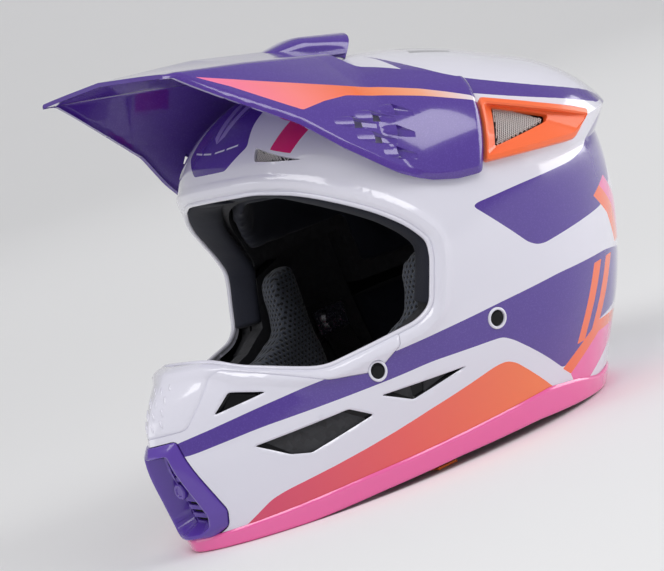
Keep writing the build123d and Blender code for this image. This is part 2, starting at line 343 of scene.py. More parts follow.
def wallFrom(piece, thickness, angle=38, lined=False):
    inside = len(piece.data.materials) if lined else 0
    applied(piece, ("SOLIDIFY", {"thickness": thickness * mm, "offset": -1.0, "material_offset": inside}))
    sharpen(piece, angle)
    return piece


# Materials.
def blankMaterial(name):
    material = bpy.data.materials.new(name)
    material.use_nodes = True
    tree = material.node_tree
    tree.nodes.clear()
    out = tree.nodes.new("ShaderNodeOutputMaterial")
    shader = tree.nodes.new("ShaderNodeBsdfPrincipled")
    tree.links.new(shader.outputs[0], out.inputs[0])
    return material, tree, shader


def node(tree, kind, links=None, **settings):
    made = tree.nodes.new(kind)
    for key, value in settings.items():
        if key.startswith("in_"):
            made.inputs[key[3:].replace("_", " ")].default_value = value
        else:
            setattr(made, key, value)
    for socket, source in (links or {}).items():
        tree.links.new(source, made.inputs[socket])
    return made


def maths(tree, operation, a, b=0.0, clamp=False):
    made = tree.nodes.new("ShaderNodeMath")
    made.operation = operation
    made.use_clamp = clamp
    for socket, value in ((0, a), (1, b)):
        if isinstance(value, (int, float)):
            made.inputs[socket].default_value = value
        else:
            tree.links.new(value, made.inputs[socket])
    return made.outputs[0]


def mixed(tree, factor, a, b):
    made = tree.nodes.new("ShaderNodeMix")
    made.data_type = "RGBA"
    for socket, value in ((0, factor), (6, a), (7, b)):
        if isinstance(value, (int, float)):
            made.inputs[socket].default_value = value
        elif isinstance(value, tuple):
            made.inputs[socket].default_value = (*value, 1)
        else:
            tree.links.new(value, made.inputs[socket])
    return made.outputs[2]


def lacquer(name, colour, deep=None, roughness=0.16, coat=1.0, flake=0.0, shine=0.5):
    material, tree, shader = blankMaterial(name)
    where = node(tree, "ShaderNodeTexCoord").outputs["Object"]
    drift = node(tree, "ShaderNodeTexNoise", {"Vector": where}, in_Scale=9.0, in_Detail=3.0)
    fine = node(tree, "ShaderNodeTexNoise", {"Vector": where}, in_Scale=420.0, in_Detail=2.0)
    tint = mixed(tree, maths(tree, "MULTIPLY", drift.outputs[0], 0.7), colour,
                 deep or tuple(c * 0.9 for c in colour))
    if flake:
        sparkle = node(tree, "ShaderNodeTexVoronoi", {"Vector": where}, in_Scale=1800.0)
        spots = maths(tree, "MULTIPLY", maths(tree, "GREATER_THAN", sparkle.outputs["Color"], 0.72), flake)
        tint = mixed(tree, spots, tint, tuple(min(1, c * 1.8 + 0.05) for c in colour))
    tree.links.new(tint, shader.inputs["Base Color"])
    rough = maths(tree, "ADD", maths(tree, "MULTIPLY", fine.outputs[0], 0.08), roughness - 0.04)
    tree.links.new(rough, shader.inputs["Roughness"])
    shader.inputs["Specular IOR Level"].default_value = shine
    shader.inputs["Coat Weight"].default_value = coat
    shader.inputs["Coat Roughness"].default_value = 0.06
    bump = node(tree, "ShaderNodeBump", {"Height": drift.outputs[0]}, in_Strength=0.02, in_Distance=0.002)
    tree.links.new(bump.outputs[0], shader.inputs["Normal"])
    return material


def gradientLacquer(name, stops, axis, low, high, roughness=0.16):
    material, tree, shader = blankMaterial(name)
    where = node(tree, "ShaderNodeTexCoord").outputs["Object"]
    parts = node(tree, "ShaderNodeSeparateXYZ", {"Vector": where})
    span = node(tree, "ShaderNodeMapRange", {"Value": parts.outputs[axis]})
    span.inputs["From Min"].default_value = low
    span.inputs["From Max"].default_value = high
    ramp = node(tree, "ShaderNodeValToRGB", {"Fac": span.outputs[0]})
    ramp.color_ramp.elements[0].position = stops[0][0]
    ramp.color_ramp.elements[0].color = (*stops[0][1], 1)
    ramp.color_ramp.elements[1].position = stops[-1][0]
    ramp.color_ramp.elements[1].color = (*stops[-1][1], 1)
    for position, colour in stops[1:-1]:
        ramp.color_ramp.elements.new(position).color = (*colour, 1)
    tree.links.new(ramp.outputs[0], shader.inputs["Base Color"])
    fine = node(tree, "ShaderNodeTexNoise", {"Vector": where}, in_Scale=420.0, in_Detail=2.0)
    rough = maths(tree, "ADD", maths(tree, "MULTIPLY", fine.outputs[0], 0.08), roughness - 0.04)
    tree.links.new(rough, shader.inputs["Roughness"])
    shader.inputs["Coat Weight"].default_value = 1.0
    shader.inputs["Coat Roughness"].default_value = 0.06
    return material


def moulded(name, colour, roughness=0.4, grain=900.0, depth=0.15):
    material, tree, shader = blankMaterial(name)
    where = node(tree, "ShaderNodeTexCoord").outputs["Object"]
    specks = node(tree, "ShaderNodeTexNoise", {"Vector": where}, in_Scale=grain, in_Detail=4.0)
    drift = node(tree, "ShaderNodeTexNoise", {"Vector": where}, in_Scale=14.0, in_Detail=2.0)
    tree.links.new(mixed(tree, drift.outputs[0], colour, tuple(c * 0.78 for c in colour)),
                   shader.inputs["Base Color"])
    rough = maths(tree, "ADD", maths(tree, "MULTIPLY", specks.outputs[0], 0.18), roughness - 0.09)
    tree.links.new(rough, shader.inputs["Roughness"])
    bump = node(tree, "ShaderNodeBump", {"Height": specks.outputs[0]}, in_Strength=depth, in_Distance=0.0003)
    tree.links.new(bump.outputs[0], shader.inputs["Normal"])
    return material


white = (0.80, 0.79, 0.88)
purple = (0.075, 0.028, 0.30)
whiteLacquer = lacquer("whiteLacquer", white, (0.76, 0.75, 0.85))
purpleLacquer = lacquer("purpleLacquer", (0.085, 0.036, 0.32), (0.058, 0.020, 0.25), flake=0.12)
deepPurple = lacquer("deepPurpleLacquer", (0.075, 0.022, 0.30), (0.06, 0.016, 0.25), flake=0.15)
pinkLacquer = lacquer("pinkLacquer", (0.93, 0.14, 0.42), (0.90, 0.12, 0.38))
orangeLacquer = lacquer("orangeLacquer", (0.98, 0.16, 0.035), (0.95, 0.13, 0.03))
# A lavender lacquer for a painted highlight: the crown's gloss reflection painted onto the purple.
lavenderHighlight = lacquer("lavenderHighlightLacquer", (0.36, 0.28, 0.62), (0.30, 0.22, 0.56))
greyLacquer = lacquer("greyLacquer", (0.20, 0.20, 0.24), (0.12, 0.12, 0.15))
magentaLacquer = lacquer("magentaLacquer", (0.78, 0.02, 0.16), (0.72, 0.02, 0.15))
sunset = gradientLacquer("sunsetLacquer", [(0.0, (0.72, 0.045, 0.13)), (0.45, (0.90, 0.10, 0.09)),
                                           (1.0, (1.0, 0.20, 0.05))], 1, -0.14, 0.03)
purplePlastic = lacquer("purplePlastic", (0.115, 0.05, 0.40), (0.085, 0.03, 0.32), roughness=0.24, coat=0.6)
glossBlack = lacquer("glossBlack", (0.003, 0.003, 0.004), (0.006, 0.006, 0.008), roughness=0.24, coat=0.0,
                     shine=0.25)
orangePlastic = lacquer("orangePlastic", (1.0, 0.17, 0.045), (0.95, 0.14, 0.035), roughness=0.30, coat=0.35)
greyMesh = moulded("greyMesh", (0.74, 0.70, 0.68), 0.55, 1500.0, 0.1)
steel = moulded("platedSteel", (0.55, 0.55, 0.57), 0.28, 700.0, 0.05)
steel.node_tree.nodes["Principled BSDF"].inputs["Metallic"].default_value = 1.0
blackPlastic = moulded("blackPlastic", (0.006, 0.006, 0.007), 0.35, 800.0, 0.08)


def foamBeads(name, colour):
    material, tree, shader = blankMaterial(name)
    where = node(tree, "ShaderNodeTexCoord").outputs["Object"]
    cells = node(tree, "ShaderNodeTexVoronoi", {"Vector": where}, in_Scale=330.0)
    edges = node(tree, "ShaderNodeTexVoronoi", {"Vector": where}, feature="DISTANCE_TO_EDGE", in_Scale=330.0)
    tint = mixed(tree, cells.outputs["Color"], colour, tuple(c * 1.7 for c in colour))
    tree.links.new(tint, shader.inputs["Base Color"])
    bump = node(tree, "ShaderNodeBump", {"Height": edges.outputs[0]}, in_Strength=0.5, in_Distance=0.0006)
    tree.links.new(bump.outputs[0], shader.inputs["Normal"])
    shader.inputs["Roughness"].default_value = 0.75
    return material


# Spacer mesh: round holes in a honeycomb, laid on the piece's sides. Each hole is painted near-black, which
# is painted shade inside the hole.
def spacerMesh(name, colour, holeShade, pitch):
    material, tree, shader = blankMaterial(name)
    where = node(tree, "ShaderNodeTexCoord").outputs["Object"]
    parts = node(tree, "ShaderNodeSeparateXYZ", {"Vector": where})
    facing = node(tree, "ShaderNodeSeparateXYZ",
                  {"Vector": node(tree, "ShaderNodeTexCoord").outputs["Normal"]})
    frontal = maths(tree, "GREATER_THAN", maths(tree, "ABSOLUTE", facing.outputs[1]),
                    maths(tree, "ABSOLUTE", facing.outputs[0]))
    along = node(tree, "ShaderNodeMix", {"Factor": frontal})
    tree.links.new(parts.outputs[1], along.inputs[2])
    tree.links.new(parts.outputs[0], along.inputs[3])
    nearest = []
    for offset in (0.0, 0.5):
        a = maths(tree, "ADD", maths(tree, "DIVIDE", along.outputs[0], pitch), offset)
        b = maths(tree, "ADD", maths(tree, "DIVIDE", parts.outputs[2], pitch * 1.732), offset)
        da = maths(tree, "SUBTRACT", maths(tree, "FRACT", a), 0.5)
        db = maths(tree, "MULTIPLY", maths(tree, "SUBTRACT", maths(tree, "FRACT", b), 0.5), 1.732)
        nearest.append(maths(tree, "SQRT", maths(tree, "ADD", maths(tree, "MULTIPLY", da, da),
                                                  maths(tree, "MULTIPLY", db, db))))
    reach = maths(tree, "MINIMUM", nearest[0], nearest[1])
    rise = node(tree, "ShaderNodeMapRange", {"Value": reach}, interpolation_type="SMOOTHSTEP")
    rise.inputs["From Min"].default_value = 0.20
    rise.inputs["From Max"].default_value = 0.36
    threads = node(tree, "ShaderNodeTexNoise", {"Vector": where}, in_Scale=1600.0, in_Detail=2.0)
    cloth = mixed(tree, threads.outputs[0], tuple(c * 0.7 for c in colour), tuple(c * 1.35 for c in colour))
    # The holes take the near-black colour: painted shade where the fabric dips.
    tree.links.new(mixed(tree, rise.outputs[0], holeShade, cloth), shader.inputs["Base Color"])
    height = maths(tree, "ADD", rise.outputs[0], maths(tree, "MULTIPLY", threads.outputs[0], 0.15))
    bump = node(tree, "ShaderNodeBump", {"Height": height}, in_Strength=0.9, in_Distance=0.0012)
    tree.links.new(bump.outputs[0], shader.inputs["Normal"])
    shader.inputs["Roughness"].default_value = 0.8
    shader.inputs["Sheen Weight"].default_value = 0.25
    return material


def brushedCloth(name, colour):
    material, tree, shader = blankMaterial(name)
    where = node(tree, "ShaderNodeTexCoord").outputs["Object"]
    nap = node(tree, "ShaderNodeTexNoise", {"Vector": where}, in_Scale=900.0, in_Detail=4.0)
    worn = node(tree, "ShaderNodeTexNoise", {"Vector": where}, in_Scale=22.0, in_Detail=3.0)
    tint = mixed(tree, worn.outputs[0], colour, tuple(c * 1.9 for c in colour))
    tree.links.new(tint, shader.inputs["Base Color"])
    bump = node(tree, "ShaderNodeBump", {"Height": nap.outputs[0]}, in_Strength=0.35, in_Distance=0.0005)
    tree.links.new(bump.outputs[0], shader.inputs["Normal"])
    shader.inputs["Roughness"].default_value = 0.85
    shader.inputs["Sheen Weight"].default_value = 0.08
    shader.inputs["Specular IOR Level"].default_value = 0.2
    return material


def webbingCloth(name, colour):
    material, tree, shader = blankMaterial(name)
    where = node(tree, "ShaderNodeTexCoord").outputs["Object"]
    parts = node(tree, "ShaderNodeSeparateXYZ", {"Vector": where})
    ribs = maths(tree, "SINE", maths(tree, "MULTIPLY", parts.outputs[1], 4200.0))
    weft = maths(tree, "SINE", maths(tree, "MULTIPLY", maths(tree, "ADD", parts.outputs[0],
                                                             parts.outputs[2]), 3600.0))
    weave = maths(tree, "MULTIPLY", ribs, weft)
    # The weave is painted darker in its dips and lighter on its crowns: painted shade and highlight that
    # follow the bump.
    shade = node(tree, "ShaderNodeMapRange", {"Value": weave})
    shade.inputs["From Min"].default_value = -1.0
    tree.links.new(mixed(tree, shade.outputs[0], tuple(c * 0.5 for c in colour),
                         tuple(c * 1.5 for c in colour)),
                   shader.inputs["Base Color"])
    bump = node(tree, "ShaderNodeBump", {"Height": shade.outputs[0]}, in_Strength=0.6, in_Distance=0.0004)
    tree.links.new(bump.outputs[0], shader.inputs["Normal"])
    shader.inputs["Roughness"].default_value = 0.7
    return material


wedgePaint = gradientLacquer("wedgeLacquer", [(0.0, (0.98, 0.20, 0.40)), (0.34, (1.0, 0.24, 0.22)),
                                              (0.6, (0.98, 0.17, 0.03)), (0.8, (0.95, 0.40, 0.22)),
                                              (1.0, (0.82, 0.80, 0.88))], 1, -0.105, 0.048)
impactFoam = foamBeads("impactFoam", (0.022, 0.022, 0.025))
filterFoam = foamBeads("filterFoam", (0.010, 0.010, 0.012))
# Its third colour is the painted shade inside the mesh's holes.
padMesh = spacerMesh("padMesh", (0.060, 0.070, 0.095), (0.004, 0.005, 0.008), 0.0034)
linerCloth = brushedCloth("linerCloth", (0.010, 0.011, 0.018))
blackWebbing = webbingCloth("blackWebbing", (0.016, 0.016, 0.018))
orangeWebbing = webbingCloth("orangeWebbing", (0.85, 0.20, 0.02))
print("materials ready")

# The shell's outlines, seen from the side unless they say otherwise.
shellShape = {
    "eyePort": [(-260, 268), (-150, 214), (-91, 189), (-86, 188), (-73, 181), (-61, 171), (-46, 158),
                (-34, 145),
                (-27, 133), (-28, 124), (-37, 96), (-47, 90), (-71, 87), (-103, 83), (-118, 89), (-138, 99),
                (-146, 108), (-260, 118)],
    "eyeRound": 9.0,
    "trimTop": [(-260, 4.6), (-165, 4.6), (-110, 9.6), (-60, 12.6), (10, 13.6), (60, 10.6), (260, 10.6)],
    "chinSeam": [(-260, 73), (-171, 73), (-151, 97), (-145, 99), (-103, 76), (-77, 71), (-62, 81), (-58, 94)],
    "chinVents": [[(-158, 77), (-148, 87), (-133, 81)],
                  [(-147, 53), (-98, 56), (-86, 48), (-122, 39), (-132, 42)],
                  [(-79, 57), (-27, 55), (-62, 48)]],
    "sideWindow": [(48, 191), (36, 170), (78, 172)],
    "mouth": [(0, 69), (15, 69), (27, 22), (24, 12), (14, 7), (0, 7), (-14, 7), (-24, 12), (-27, 22),
              (-15, 69)],
    "browVent": [(36, 212.5), (38, 205), (64, 199)],
    "rearVent": [(18, 112), (44, 119), (40, 131), (18, 125)],
    "studs": [(-77.4, 71.5, 54.0), (0.0, 75.0, 85.0)],
    "studSeat": 6.5,
    "wall": 3.0,
}
frameShape = {"outer": [(39.8, 197), (21.2, 163), (91, 155), (107, 167)],
              "inner": [(46, 191), (33.5, 169.5), (76.5, 171), (79.5, 174)], "proud": 5.0}


def circleOn(stud, radius, count=28):
    y, z, facing = stud
    squash = math.sin(math.radians(facing))
    return [(y + radius * squash * math.cos(t), z + radius * math.sin(t))
            for t in np.linspace(0, 2 * math.pi, count, endpoint=False)]



# Painted areas. "round" outlines are degrees round from the front, and height.
artwork = [
    ("purple", "round", [(2, 66), (16, 73.5), (26, 77), (36, 78), (54, 80), (77, 83), (101, 85), (126, 84),
                         (140, 80),
                         (150, 60), (135, 48), (120, 45), (99, 28), (78.5, 59), (75, 63), (71, 63.6), (52,
                                                                                                       65.5),
                         (44, 64.5), (16, 62.5), (4, 58)], 3.0),
    ("sunset", "round", [(8, 7), (14.3, 20.4), (17, 23), (47.7, 38.8), (70, 48), (74.5, 48.3), (78, 45),
                         (95, 17),
                         (93, 8), (60, 6), (30, 4)], 2.5),
    ("orange", "round", [(98.6, 28), (119.8, 45), (150, 44), (150, 38), (121.5, 38), (103, 22.5)], 0.6),
    ("pink", "round", [(103, 22.5), (121.5, 38), (150, 38), (150, 29), (135, 27), (112, 10), (108, 8)], 0.6),
    ("purple", "round", [(77, 143), (92, 110), (95, 106.5), (98, 105.5), (128, 110.5), (140, 122),
                         (146, 150), (148, 170),
                         (142, 168), (140, 163), (126, 147), (118, 143.8), (95, 144), ], 3.5),
    ("purple", "round", [(84, 240), (100, 213), (123, 189.5), (144, 168.5), (147, 170), (142, 166.3),
                         (137, 166.5),
                         (114, 187), (97.6, 201.5), (86, 210)], 1.0),
]
artwork += [
    ("purple", "front", [(-1, 241.5), (14, 238), (25, 232), (26, 225), (30, 214), (16, 204), (-1, 204)], 2.0),
    # A lavender strip at the top of the forehead patch: a painted highlight where the crown catches the
    # light.
    ("lavenderHighlight", "front", [(3, 237), (9, 235), (5, 222), (0, 219)], 0.5),
    ("white", "front", [(2, 215), (11, 215.6), (11, 214.8), (2, 214.2)], 0.0),
    ("white", "front", [(13, 215.7), (22, 216.4), (22, 215.6), (13, 214.9)], 0.0),
    ("magenta", "front", [(49, 221.5), (62, 215), (58, 204), (46, 209)], 0.5),
    ("orange", "round", [(107, 38), (111.5, 38), (123, 80), (118.5, 80)], 0.5),
    ("orange", "round", [(115, 38), (119.5, 38), (131, 80), (126.5, 80)], 0.5),
    ("orange", "round", [(124, 118), (131, 104), (136, 84), (141, 84), (137, 106), (129, 122)], 0.5),
    ("pink", "round", [(129, 122), (137, 106), (141, 84), (146, 84), (143, 108), (134, 126)], 0.5),
    ("grey", "top", [(6, 60), (14, 56), (24, 90), (16, 94)], 0.5),
    ("grey", "top", [(22, 58), (30, 54), (40, 84), (32, 88)], 0.5),
    ("grey", "top", [(38, 54), (45, 50), (53, 74), (46, 78)], 0.5),
]
slotOf = {"white": 0, "purple": 1, "sunset": 2, "orange": 3, "pink": 4, "lavenderHighlight": 5, "grey": 6,
          "magenta": 7}
shellMaterials = [whiteLacquer, purpleLacquer, sunset, orangeLacquer, pinkLacquer, lavenderHighlight, greyLacquer,
                  magentaLacquer, blackPlastic]
bothSides = (1, -1)
eyeOutline = rounded(shellShape["eyePort"], shellShape["eyeRound"])


def eyeLip(bm):
    lift = np.zeros(len(bm.verts))
    for side in bothSides:
        d = distances(bm, eyeOutline, "side", side)
        bead = 2.0 * np.exp(-((d - 6.5) / 3.4) ** 2)
        tuck = -3.2 * np.clip(1 - d / 3.0, 0, 1.2) ** 2
        lift = np.where((d > -1) & (d < 25), bead + tuck, lift)
    return lift


spoilerShape = {"lift": 12.5, "edge": 164.0, "foot": 151.0, "top": 216.0, "from": 92.0, "full": 138.0}


def spoilerAt(p):
    c = spoilerShape
    turn = math.degrees(math.atan2(abs(p.x), roundY - p.y))
    if turn < c["from"] or not c["foot"] < p.z < c["top"]:
        return 0.0
    across = min(1.0, (turn - c["from"]) / (c["full"] - c["from"])) ** 1.3
    if p.z > c["edge"]:
        return c["lift"] * across * ((c["top"] - p.z) / (c["top"] - c["edge"])) ** 1.3
    return c["lift"] * across * (p.z - c["foot"]) / (c["edge"] - c["foot"])


def spoiler(bm):
    return np.array([spoilerAt(v.co) for v in bm.verts])


def buildShell():
    s = shellShape
    bm = skin(2, 243.3, 100, 300, capped=True)
    for side in bothSides:
        for z in (spoilerShape["edge"], spoilerShape["foot"]):
            score(bm, [(turn, z) for turn in range(92, 181, 8)], "round", side, closed=False)
    below = [(-260, -20)] + s["trimTop"] + [(260, -20)]
    window(bm, rounded(below, 0), "side", bothSides)
    window(bm, eyeOutline, "side", bothSides, rings=(10.5, 6.5, 3.2, 1.4))
    cover = s["chinSeam"] + [(-58, 130), (-260, 130)]
    window(bm, rounded(cover, 2.0), "side", bothSides, rings=(0.8,))
    for vent in s["chinVents"]:
        window(bm, rounded(vent, 1.5), "side", bothSides, rings=(1.0,))
    window(bm, rounded(grown(frameShape["outer"], -1.0), 2.0), "side", bothSides)
    for stud in s["studs"]:
        window(bm, circleOn(stud, s["studSeat"]), "side", bothSides)
    window(bm, rounded(s["browVent"], 1.5), "front", bothSides, rings=(1.0,))
    window(bm, rounded(s["rearVent"], 2.0), "back", bothSides, rings=(1.0,))
    window(bm, rounded(s["mouth"], 3.0), "front", (1,))
    window(bm, rounded(s["mouth"], 3.0), "front", (-1,))
    print("shell cut", len(bm.faces))
    for name, kind, outline, corner in artwork:
        paint(bm, rounded(outline, corner, longest=9.0), kind, bothSides, slotOf[name])
    print("shell painted", len(bm.faces))
    bm.verts.ensure_lookup_table()
    lift = eyeLip(bm) + spoiler(bm)
    for vent in s["chinVents"]:
        for side in bothSides:
            d = distances(bm, rounded(vent, 1.5), "side", side)
            lift += np.where(d < 1.2, -0.9 * np.clip(1 - d / 1.0, 0, 1) ** 2, 0)
    raiseBy(bm, lift)
    piece = makePiece(bm, "shellSkin", "helmet", shellMaterials, ("outer_shell",))
    return wallFrom(piece, s["wall"], lined=True)


shellSkin = buildShell()
print("shell", len(shellSkin.data.polygons))


# Pieces laid on the skin: a point of an outline goes straight on to the skin, then out by a height.
def onSkin(kind, a, side=1, height=0.0):
    if kind == "side":
        start, aim = Vector((side * 400, a[0], a[1])), Vector((-side, 0, 0))
    else:
        turn = -1 if kind == "front" else 1
        start, aim = Vector((a[0] * side, turn * 400, a[1])), Vector((0, -turn, 0))
    at, normal, _, _ = skinTree.ray_cast(start, aim)
    return at + normal * (height + spoilerAt(at))


def loopOf(outline, radius, perSide=8, perCorner=4):
    arcs = []
    count = len(outline)
    for i, p in enumerate(outline):
        p, a, b = Vector(p), Vector(outline[i - 1]), Vector(outline[(i + 1) % count])
        r = min(radius, (a - p).length * 0.45, (b - p).length * 0.45)
        start, end = p + (a - p).normalized() * r, p + (b - p).normalized() * r
        arcs.append([start * (1 - t) ** 2 + p * 2 * t * (1 - t) + end * t * t
                     for t in np.linspace(0, 1, perCorner + 1)])
    points = []
    for arc, following in zip(arcs, arcs[1:] + arcs[:1]):
        points += arc + [arc[-1].lerp(following[0], k / perSide) for k in range(1, perSide)]
    return [tuple(p) for p in points]


def bridged(bm, loops, ringed=False):
    rows = [[bm.verts.new(p) for p in points] for points in loops]
    for a, b in zip(rows, rows[1:] + (rows[:1] if ringed else [])):
        for i in range(len(a)):
            j = (i + 1) % len(a)
            bm.faces.new((a[i], a[j], b[j], b[i]))
    return rows


def collar(bm, kind, side, steps, ringed=True):
    rows = bridged(bm, [[onSkin(kind, p, side, height) for p in points] for points, height in steps], ringed)
    bmesh.ops.recalc_face_normals(bm, faces=bm.faces)
    return rows


def dish(bm, kind, side, outline, radius, depths, rim=1.6):
    points = loopOf(grown(outline, rim), radius)
    centre = Vector((sum(p[0] for p in points), sum(p[1] for p in points))) / len(points)
    loops = []
    for shrink, height in depths:
        loops.append([onSkin(kind, centre.lerp(Vector(p), shrink), side, height) for p in points])
    rows = bridged(bm, loops)
    middle = bm.verts.new(onSkin(kind, centre, side, depths[-1][1]))
    last = rows[-1]
    for i in range(len(last)):
        bm.faces.new((last[i], last[(i + 1) % len(last)], middle))


def pointOut(bm):
    for face in bm.faces:
        normal = skinTree.find_nearest(face.calc_center_median())[1]
        if face.normal.dot(normal) < 0:
            face.normal_flip()


# The cover over the nose of the chin bar, with a field of small ribs.
coverShape = {"wall": 3.0, "proud": 0.5, "ribSize": (1.1, 6.5, 0.8), "ribLean": 24.0,
              "ribRows": (78, 84, 90, 96, 102), "ribColumns": (-7.5, -2.5, 2.5, 7.5)}


def buildCover():
    c = coverShape
    bm = skin(55, 128, 60, 300)
    outline = rounded(shellShape["chinSeam"] + [(-58, 130), (-260, 130)], 2.0)
    bmesh.ops.delete(bm, geom=[f for f in bm.faces if f.calc_center_median().y > -40], context="FACES")
    keepOnly(bm, outline, "side", bothSides, rings=(0.8, 2.0))
    window(bm, eyeOutline, "side", bothSides, rings=(10.5, 6.5, 3.2, 1.4))
    window(bm, rounded(shellShape["mouth"], 3.0), "front", (1,))
    window(bm, rounded(shellShape["mouth"], 3.0), "front", (-1,))
    window(bm, circleOn(shellShape["studs"][0], shellShape["studSeat"]), "side", bothSides)
    bm.verts.ensure_lookup_table()
    edge = np.minimum(*[distances(bm, outline, "side", side) for side in bothSides])
    lift = c["proud"] - 1.1 * np.clip(1 + edge / 1.6, 0, 1) ** 2
    raiseBy(bm, lift + eyeLip(bm))
    piece = makePiece(bm, "noseCover", "helmet", [whiteLacquer], ("chin_cover",))
    return wallFrom(piece, c["wall"])


# A Geometry Nodes tree that stands a small rounded bar on each point, facing along its normal.
def groupInput(group, name, kind, value=None):
    made = group.interface.new_socket(name=name, in_out="INPUT", socket_type=kind)
    if value is not None:
        made.default_value = value
    return made.identifier


def barTree():
    group = bpy.data.node_groups.new("barsOnPoints", "GeometryNodeTree")
    group.interface.new_socket(name="Geometry", in_out="OUTPUT", socket_type="NodeSocketGeometry")
    groupInput(group, "Geometry", "NodeSocketGeometry")
    sockets = {"size": groupInput(group, "Size", "NodeSocketVector", (1, 1, 1)),
               "lean": groupInput(group, "Lean", "NodeSocketFloat", 0.0),
               "material": groupInput(group, "Material", "NodeSocketMaterial")}
    start, end = node(group, "NodeGroupInput"), node(group, "NodeGroupOutput")
    bar = node(group, "GeometryNodeMeshCube", {"Size": start.outputs["Size"]})
    soft = node(group, "GeometryNodeSubdivisionSurface", {"Mesh": bar.outputs[0]}, in_Level=2)
    soft.inputs["Edge Crease"].default_value = 0.55
    normal = node(group, "GeometryNodeInputNormal")
    stand = node(group, "FunctionNodeAlignRotationToVector", {"Vector": normal.outputs[0]}, axis="Z")
    turn = node(group, "ShaderNodeCombineXYZ", {"Z": start.outputs["Lean"]})
    leaned = node(group, "FunctionNodeRotateRotation", {"Rotation": stand.outputs[0],
                                                        "Rotate By": turn.outputs[0]},
                  rotation_space="LOCAL")
    bars = node(group, "GeometryNodeInstanceOnPoints", {"Points": start.outputs["Geometry"],
                "Instance": soft.outputs[0], "Rotation": leaned.outputs[0]})
    real = node(group, "GeometryNodeRealizeInstances", {"Geometry": bars.outputs[0]})
    final = node(group, "GeometryNodeSetMaterial", {"Geometry": real.outputs[0],
                 "Material": start.outputs["Material"]})
    group.links.new(final.outputs[0], end.inputs[0])
    return group, sockets


def wireTree():
    group = bpy.data.node_groups.new("wiresAlongEdges", "GeometryNodeTree")
    group.interface.new_socket(name="Geometry", in_out="OUTPUT", socket_type="NodeSocketGeometry")
    groupInput(group, "Geometry", "NodeSocketGeometry")
    sockets = {"radius": groupInput(group, "Radius", "NodeSocketFloat", 0.0003),
               "material": groupInput(group, "Material", "NodeSocketMaterial")}
    start, end = node(group, "NodeGroupInput"), node(group, "NodeGroupOutput")
    lines = node(group, "GeometryNodeMeshToCurve", {"Mesh": start.outputs["Geometry"]})
    section = node(group, "GeometryNodeCurvePrimitiveCircle", {"Radius": start.outputs["Radius"]},
                   in_Resolution=5)
    wires = node(group, "GeometryNodeCurveToMesh", {"Curve": lines.outputs[0],
                                                    "Profile Curve": section.outputs[0]})
    real = node(group, "GeometryNodeRealizeInstances", {"Geometry": wires.outputs[0]})
    final = node(group, "GeometryNodeSetMaterial", {"Geometry": real.outputs[0],
                 "Material": start.outputs["Material"]})
    group.links.new(final.outputs[0], end.inputs[0])
    return group, sockets


bars, barSockets = barTree()
wires, wireSockets = wireTree()


def grownFrom(bm, tree, sockets, values, name, body, replaced=()):
    bm.transform(toFrame)
    mesh = bpy.data.meshes.new(name)
    bm.to_mesh(mesh)
    bm.free()
    piece = bpy.data.objects.new(name, mesh)
    bpy.context.scene.collection.objects.link(piece)
    modifier = piece.modifiers.new("tree", "NODES")
    modifier.node_group = tree
    for key, value in values.items():
        modifier[sockets[key]] = value
    bpy.context.view_layer.update()
    made = bpy.data.meshes.new_from_object(piece.evaluated_get(bpy.context.evaluated_depsgraph_get()))
    piece.modifiers.clear()
    piece.data = made
    bpy.data.meshes.remove(mesh)
    made.shade_smooth()
    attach(piece, body)
    if replaced:
        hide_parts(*replaced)
    return piece


def pointsWithNormals(spots):
    bm = bmesh.new()
    for at, normal in spots:
        across = normal.orthogonal().normalized() * 0.01
        second = normal.cross(across)
        bm.faces.new([bm.verts.new(at + across), bm.verts.new(at + second),
                      bm.verts.new(at - across - second)])
    bm.normal_update()
    return bm


def buildCoverRibs():
    c = coverShape
    bm = bmesh.new()
    for z in c["ribRows"]:
        for x in c["ribColumns"]:
            at = onSkin("front", (x, z + 0.25 * abs(x)), 1, c["proud"] + 0.1)
            bm.verts.new(at)
    spots = []
    for vert in bm.verts:
        _, normal, _, _ = skinTree.find_nearest(vert.co)
        spots.append((vert.co.copy(), normal))
    bm.free()
    points = bmesh.new()
    width, length, height = (size / 2 for size in c["ribSize"])
    for at, normal in spots:
        side = Vector((1, 0, 0))
        side = (side - normal * side.dot(normal)).normalized()
        up = normal.cross(side)
        lean = math.radians(c["ribLean"])
        side, up = side * math.cos(lean) + up * math.sin(lean), up * math.cos(lean) - side * math.sin(lean)
        low, high = [], []
        for turn in np.linspace(0, 2 * math.pi, 12, endpoint=False):
            edge = side * width * math.cos(turn) + up * length * math.sin(turn)
            low.append(at + edge - normal * 0.4)
            high.append(at + edge * 0.72 + normal * height)
        rows = bridged(points, [low, high])
        points.faces.new(rows[-1])
    bmesh.ops.recalc_face_normals(points, faces=points.faces)
    return makePiece(points, "noseRibs", "helmet", [whiteLacquer])


# The pink trim round the bottom edge.
trimShape = {"top": [(-260, 8), (-175, 9), (-100, 15), (-20, 19), (32, 21.5), (58, 17.5), (84, 11.5),
                     (260, 12)],
             "bottom": [(260, 0.2), (90, 0.2), (60, 2), (20, 5), (-40, 5), (-90, 3), (-130, 0.2),
                        (-260, 0.2)],
             "proud": 1.7, "wall": 8.0}


